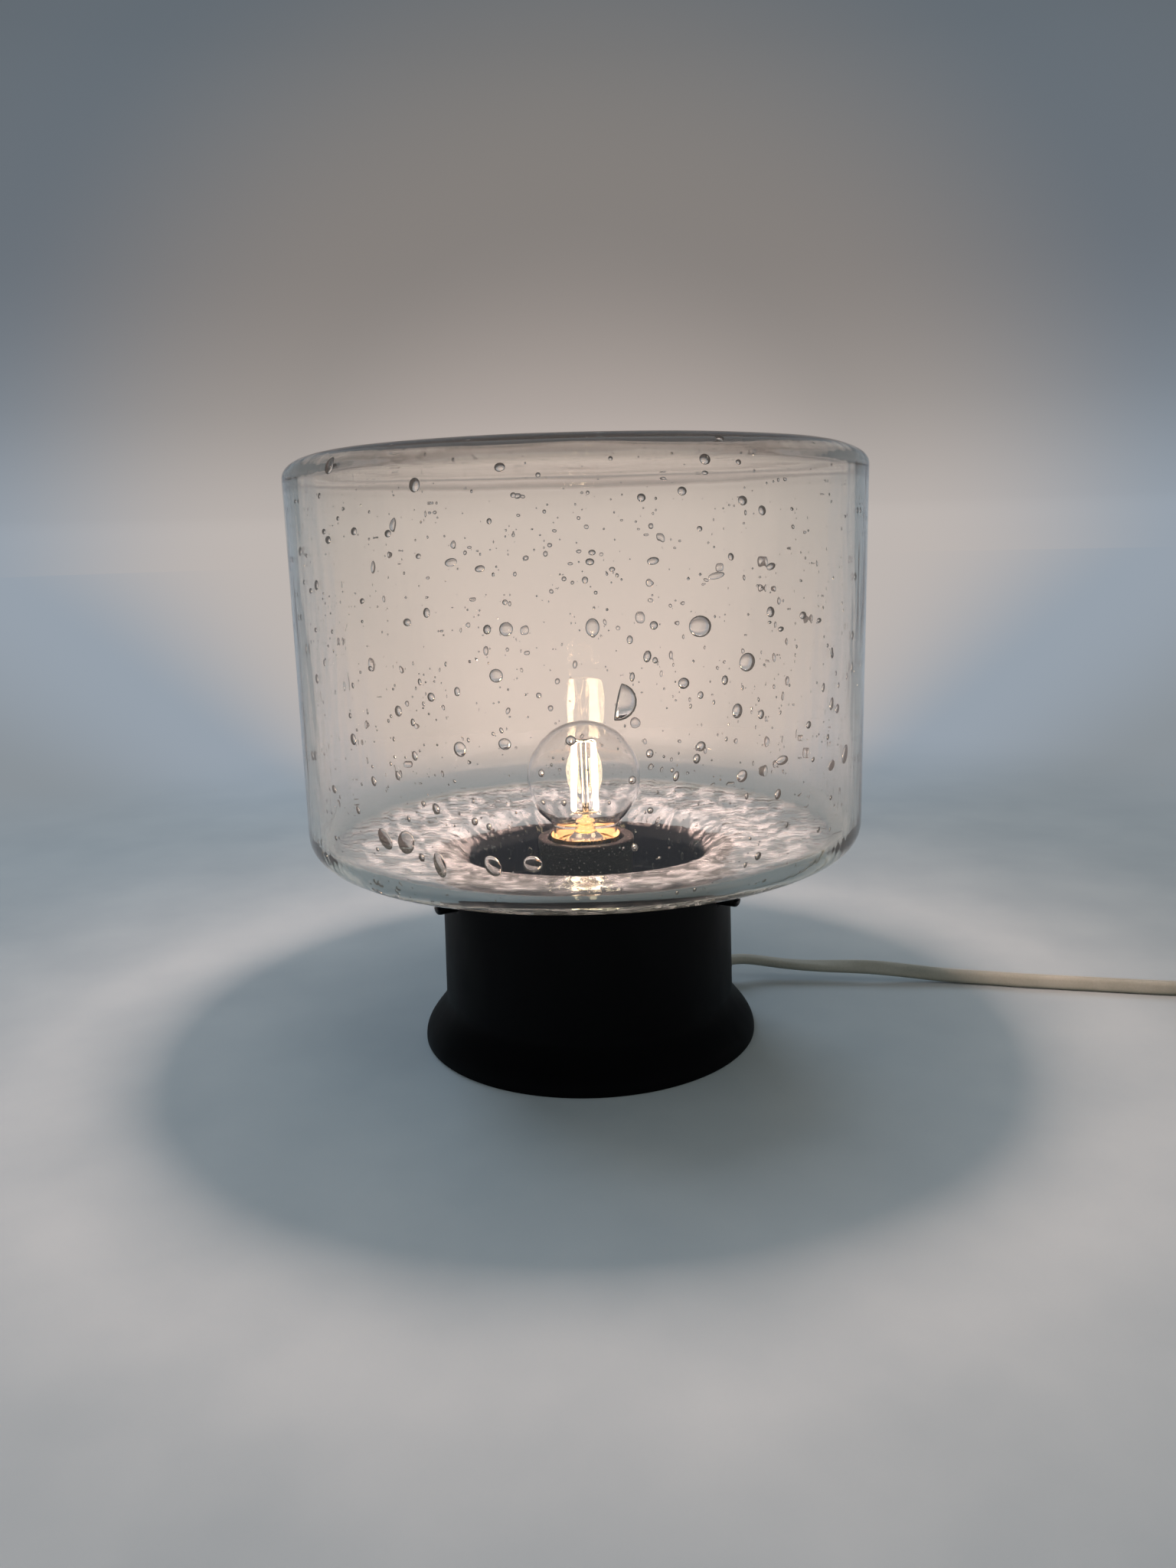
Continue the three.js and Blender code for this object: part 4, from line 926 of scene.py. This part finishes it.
def addSkirt():
    radius, rim, mouth, bore, hole = (skirt[key] for key in ("radius", "rim", "mouth", "bore", "hole"))
    bottom, start, top, ledge, floor = (skirt[key] for key in ("bottom", "rimFrom", "top", "ledge", "floor"))
    edge, outer, inner = skirt["edge"], skirt["rimRound"], skirt["mouthRound"]
    slope = start - skirt["rimSlope"]
    points = [(hole, bottom + edge), (hole + edge, bottom), (radius - edge, bottom), (radius, bottom + edge)]
    points += along((radius, bottom + edge), (radius, slope - edge), 6)
    points += [(radius, slope - edge), (radius + edge, slope), (rim, start)]
    points += arc((rim - outer, top - outer), outer, outer, 0, 90, 4)
    points += arc((mouth + inner, top - inner), inner, inner, 90, 180, 4)
    points += [(mouth, ledge + edge), (mouth - edge, ledge), (bore + edge, ledge), (bore, ledge - edge)]
    points += along((bore, ledge - edge), (bore, floor), 5) + [(bore, floor), (hole, floor)]
    piece = turned("holder_collar", points, 96, 40, closed=True)
    dress(piece, "base", addShadedDustyBlack(), "bakelite", "holder_skirt")


addSkirt()


# Bulb: clear globe on a rolled screw cap, four light strips round a glass stem

bulb = {
    "globe": 22.5, "middle": 105, "wall": 0.8, "neck": 12.4, "seat": 77.8, "neckRise": 0.8,
    "meets": -52,  # degrees, where the globe runs into the neck
    "flare": [(0, 78.1), (10.9, 78.1), (11.3, 78.4), (11.3, 78.9), (10.9, 79.1), (8.2, 79.8), (6, 81.2),
              (4.7, 82.6), (4.2, 84), (4.2, 86.1), (3.6, 87.3), (2, 87.9), (1.2, 88.6)],
    "rod": 1.2, "rodFrom": 88.6, "rodTo": 118.4, "rodTop": 119.4,
    "seal": [(0, 77.4), (11, 77.4), (11.3, 77.6), (11.3, 77.8), (11.1, 77.95), (0, 77.95)],
    "lining": [(12.62, 79.15), (13.2, 80.4), (13.8, 81.9), (13.66, 81.95), (13.04, 80.45), (12.5, 79.2)],
}


# Thin blown glass: nearly unseen but for a fine outline and slight waves

def addBulbGlass():
    material, tree, shader, place = newMaterial("bulbGlass", {
        "Base Color": (1, 1, 1, 1), "Roughness": 0.0, "IOR": 1.47, "Transmission Weight": 1.0})
    waves = addNoise(tree, place, 1 / (14 * mm), 1)
    addBump(tree, shader, waves, 0.25, 0.5)
    return material


def globeProfile(inset):
    radius = bulb["globe"] - inset
    start = math.radians(bulb["meets"])
    touch = Vector((radius * math.cos(start), bulb["middle"] + radius * math.sin(start)))
    foot = Vector((bulb["neck"] - inset, bulb["seat"] + bulb["neckRise"]))
    bend = Vector((foot.x, touch.y - (touch.x - foot.x) * math.cos(start) / -math.sin(start)))
    points = [(bulb["neck"] - inset, bulb["seat"]), tuple(foot)]
    for i in range(1, 8):
        share = i / 8
        points.append(tuple(foot.lerp(bend, share).lerp(bend.lerp(touch, share), share)))
    points += arc((0, bulb["middle"]), radius, radius, bulb["meets"], 90, 48)
    points[-1] = (0, bulb["middle"] + radius)
    return points


screwCap = {
    "radius": 12.4, "inner": 11.7, "top": 76.4, "innerFrom": 59.4,
    "threadFrom": 59, "threadTo": 76, "threadSteps": 68, "pitch": 3.6, "threadDepth": 0.7,
    "fadeOver": 2,  # the thread rises and ends within this height
    "end": [(9.9, 57.7), (11.6, 58.1), (12.3, 58.8)],
    "collar": [(12.6, 77.2), (13.1, 77.8), (13.5, 78.6), (14.1, 81.7), (14.2, 82), (13.9, 82), (13.3, 80.4),
               (12.7, 79.2), (12.4, 78.6), (12, 77.6)],
    "endInside": [(11, 58.6), (9.9, 58.3)],
}


def addScrewShell():  # a rolled thread: rings pushed out along a helix
    wall, inner, top, foot = (screwCap[key] for key in ("radius", "inner", "top", "innerFrom"))
    low, high = screwCap["threadFrom"], screwCap["threadTo"]
    points = screwCap["end"] + along((wall, low), (wall, high), screwCap["threadSteps"]) + [(wall, top)]
    points += screwCap["collar"] + [(inner, top)] + along((inner, top), (inner, foot), 12)
    points += [(inner, foot)] + screwCap["endInside"]
    bm = spun(points, 96, closed=True)
    for v in bm.verts:
        radius, height = math.hypot(v.co.x, v.co.y) / mm, v.co.z / mm
        if abs(radius - wall) < 0.1 and low - 0.1 < height < high + 0.1:
            turn = math.atan2(v.co.y, v.co.x) / (2 * math.pi)
            fade = ease((height - low) / screwCap["fadeOver"]) * ease((high - height) / screwCap["fadeOver"])
            wave = (1 + math.cos(2 * math.pi * ((height - low) / screwCap["pitch"] - turn))) / 2
            v.co.xy *= (radius + screwCap["threadDepth"] * wave * fade) / radius
    piece = newObject("screw_shell", toMesh(bm, "screwShell", 40))
    dress(piece, "bulb", finishes["brass"], "brass", "bulb_cap")


def addBulb():
    clear = addBulbGlass()
    outer, inner = globeProfile(0), globeProfile(bulb["wall"])
    globe = dress(turned("globe", outer[::-1] + inner, 128, 80), "bulb", clear, "bulb_glass", "bulb_globe")
    rod, low, high = bulb["rod"], bulb["rodFrom"], bulb["rodTo"]
    stemLine = bulb["flare"] + along((rod, low), (rod, high), 4) + arc((0, high), rod, rod, 0, 90, 5)
    stemLine[-1] = (0, bulb["rodTop"])
    stem = dress(turned("stem_glass", stemLine, 64, 60), "bulb", clear, "bulb_glass", "bulb_stem")
    addScrewShell()
    seal = turned("cap_seal", bulb["seal"], 64, 60)
    # the lining inside the brass collar wears the seal's painted glow, standing in for the strips' light on
    # the collar's inside
    lining = turned("collar_lining", bulb["lining"], 64, 60, closed=True)
    for piece in (seal, lining):
        dress(piece, "bulb", finishes["capSealPaintedGlow"], "porcelain")
    softened("cap_glass", "cap_insulator", "bulb", finishes["blackGlass"], "black_glass", 0.2)
    softened("cap_button", "bulb_contact", "contact", finishes["brass"], "brass", 0.3)
    softened("driver_board", "led_driver", "bulb", finishes["circuitBoard"], "circuit_board", 0.1)
    softened("hub_wires_low", "lower_wires", "bulb", finishes["nickel"], "nickel", 0.04)
    softened("hub_wires_high", "upper_wires", "bulb", finishes["nickel"], "nickel", 0.04)
    return globe, stem


strips = {
    "azimuths": (45, 135, 225, 315), "ends": ((6.5, 92), (5.5, 119)),  # radius and height
    "half": 1.2,  # of their thickness
    "glow": 60.0,
}


# Phosphor over lit chips: white-hot to the camera, amber only at its edges

def addGlow():
    material, tree, shader, place = newMaterial("litPhosphor", {
        "Roughness": 0.6, "Emission Strength": strips["glow"]})
    grain = addNoise(tree, place, 1 / (0.7 * mm), 2)
    for socket, stops in (("Base Color", [(0.3, "#f0b04a"), (0.7, "#ffd37c")]),
                          ("Emission Color", [(0.25, "#ffd9a0"), (0.75, "#fff0d8")])):
        tree.links.new(addColours(tree, grain, stops), shader.inputs[socket])
    material.cycles.emission_sampling = "NONE"  # the lamp in the bulb gives the light
    return material


def addStrips():
    glow = addGlow()
    half = strips["half"]
    for i, azimuth in enumerate(strips["azimuths"]):
        turn = math.radians(azimuth)
        low, high = (Vector((radius * math.cos(turn), radius * math.sin(turn), height))
                     for radius, height in strips["ends"])
        length = (high - low).length
        rod = arc((0, half), half, half, -90, 0, 5) + arc((0, length - half), half, half, 0, 90, 5)
        rod[0], rod[-1] = (0, 0), (0, length)
        piece = turned(f"strip_{i + 1}", rod, 20, place=low, direction=high - low)
        piece.visible_diffuse = False
        dress(piece, "bulb", glow, "phosphor", f"led_filament_{i + 1}")


globePiece, stemPiece = addBulb()
addStrips()
for clear in (shadePiece, bubblePiece, globePiece, stemPiece):  # lamps shine through clear glass
    clear.visible_shadow = False
print("bulb built")


# Floor, lamps and surroundings

studio = {
    "floorSize": 9000, "fadeFrom": 300, "fadeTo": 760,
    "floorColours": ("#848f90", "#8d9797"), "floorClouds": 60,
    "far": [(0.74, "#8b9298"), (0.89, "#97a1ac"), (0.97, "#beb6b1"), (1.0, "#d4c8c1")],  # aside to behind
    "sky": [(0.0, "#ffffff"), (0.02, "#ffffff"), (0.1, "#cecece"), (0.2, "#b0b0b0"), (0.34, "#b4b7b7"),
            (0.7, "#7c7f80"), (1.0, "#606466")],  # from the horizon up
    "soft": 0.46,  # light from all round
    "warm": "#ffd9cd",
    "lamps": {  # height, power, radius: the bulb itself and the glowing drum's light on the floor
        "bulbLight": (103, 7.8, 6),
        "bloomLight": (165, 1.6, 60),
    },
    "aim": (0, 0, 100), "panelSize": 700,
    "panels": {  # place, power, colour
        "keyLight": ((-800, -150, 800), 1.5, "#c4daff"),
        "fillLight": ((1100, -500, 1100), 2.4, "#f4f8ff"),
        "backLight": ((-500, 1100, 1050), 13, "#d0e0fb"),
    },
}


def addFarColour(tree, away):  # away is 1 straight behind the light, where its shine reaches the backdrop
    return addColours(tree, away, studio["far"], "EASE")


def addSeen(tree):  # 1 for what the camera sees, also in gloss and through glass
    rays = addNode(tree, "ShaderNodeLightPath").outputs
    return addMath(tree, "MAXIMUM", addMath(tree, "MAXIMUM", rays["Is Camera Ray"], rays["Is Glossy Ray"]),
                   rays["Is Transmission Ray"])


def addMixed(tree, share, first, second):
    mixed = addNode(tree, "ShaderNodeMixShader", None, {"Fac": share})
    tree.links.new(first.outputs[0], mixed.inputs[1])
    tree.links.new(second.outputs[0], mixed.inputs[2])
    return mixed.outputs[0]


# Matt paper: pale grey-blue with faint clouds near by, and far off a glow in the backdrop's colour, with its
# painted shine behind

def addFloor():
    bm = bmesh.new()
    bmesh.ops.create_circle(bm, cap_ends=True, segments=96, radius=studio["floorSize"] * mm)
    floor = newObject("floor", toMesh(bm, "floor"))
    material, tree, shader, place = newMaterial("floorPaper", {"Roughness": 0.62, "Specular IOR Level": 0.25})
    grain = addNoise(tree, place, 1 / (studio["floorClouds"] * mm), 3)
    colour = addColours(tree, grain, list(zip((0.3, 0.7), studio["floorColours"])))
    tree.links.new(colour, shader.inputs["Base Color"])
    distance = addLength(tree, place)
    far = addNode(tree, "ShaderNodeMapRange", {"interpolation_type": "SMOOTHSTEP"}, {
        "Value": distance, "From Min": studio["fadeFrom"] * mm, "From Max": studio["fadeTo"] * mm,
        "To Min": 0.0, "To Max": 1.0}).outputs[0]
    seen = addSeen(tree)
    depth = addNode(tree, "ShaderNodeSeparateXYZ", None, {"Vector": place}).outputs["Y"]
    away = addMath(tree, "DIVIDE", depth, addMath(tree, "MAXIMUM", distance, 1 * mm))
    backdropGlow = addNode(tree, "ShaderNodeEmission", None, {"Color": addFarColour(tree, away), "Strength": 1.0})
    mixed = addMixed(tree, addMath(tree, "MULTIPLY", far, seen), shader, backdropGlow)
    tree.links.new(mixed, tree.nodes["out"].inputs["Surface"])
    floor.data.materials.append(material)


def addLamp(name, kind, place, target, power, size, colour):
    data = bpy.data.lights.new(name, kind)
    data.energy = power
    data.color = toLinear(colour)[:3]
    if kind == "AREA":
        data.size = size * mm
    else:
        data.shadow_soft_size = size * mm
    lamp = bpy.data.objects.new(name, data)
    scene.collection.objects.link(lamp)
    lamp.location = Vector(place) * mm
    lamp.rotation_euler = (Vector(target) - Vector(place)).to_track_quat("-Z", "Y").to_euler()
    lamp.visible_camera = False
    lamp.visible_glossy = False  # no white squares on the clear glass
    lamp.visible_transmission = False


def addWorld():
    world = bpy.data.worlds.new("surroundings")
    scene.world = world
    world.use_nodes = True
    tree = world.node_tree
    tree.nodes.clear()
    direction = addNode(tree, "ShaderNodeTexCoord").outputs["Generated"]
    parts = addNode(tree, "ShaderNodeSeparateXYZ", None, {"Vector": direction}).outputs
    rising = addColours(tree, parts["Z"], studio["sky"], "B_SPLINE")
    sky = addNode(tree, "ShaderNodeVectorMath", {"operation": "MULTIPLY"}, {
        0: rising, 1: addFarColour(tree, parts["Y"])}).outputs[0]
    seen = addNode(tree, "ShaderNodeBackground", None, {"Color": sky, "Strength": 1.0})
    soft = addNode(tree, "ShaderNodeBackground", None, {"Color": (1, 1, 1, 1), "Strength": studio["soft"]})
    addNode(tree, "ShaderNodeOutputWorld", None, {"Surface": addMixed(tree, addSeen(tree), soft, seen)})


addFloor()
addWorld()
for name, (height, power, radius) in studio["lamps"].items():
    addLamp(name, "POINT", (0, 0, height), (0, 0, 0), power, radius, studio["warm"])
for name, (place, power, colour) in studio["panels"].items():
    addLamp(name, "AREA", place, studio["aim"], power, studio["panelSize"], colour)
scene.view_settings.view_transform = "Standard"
print("floor and lamps set")
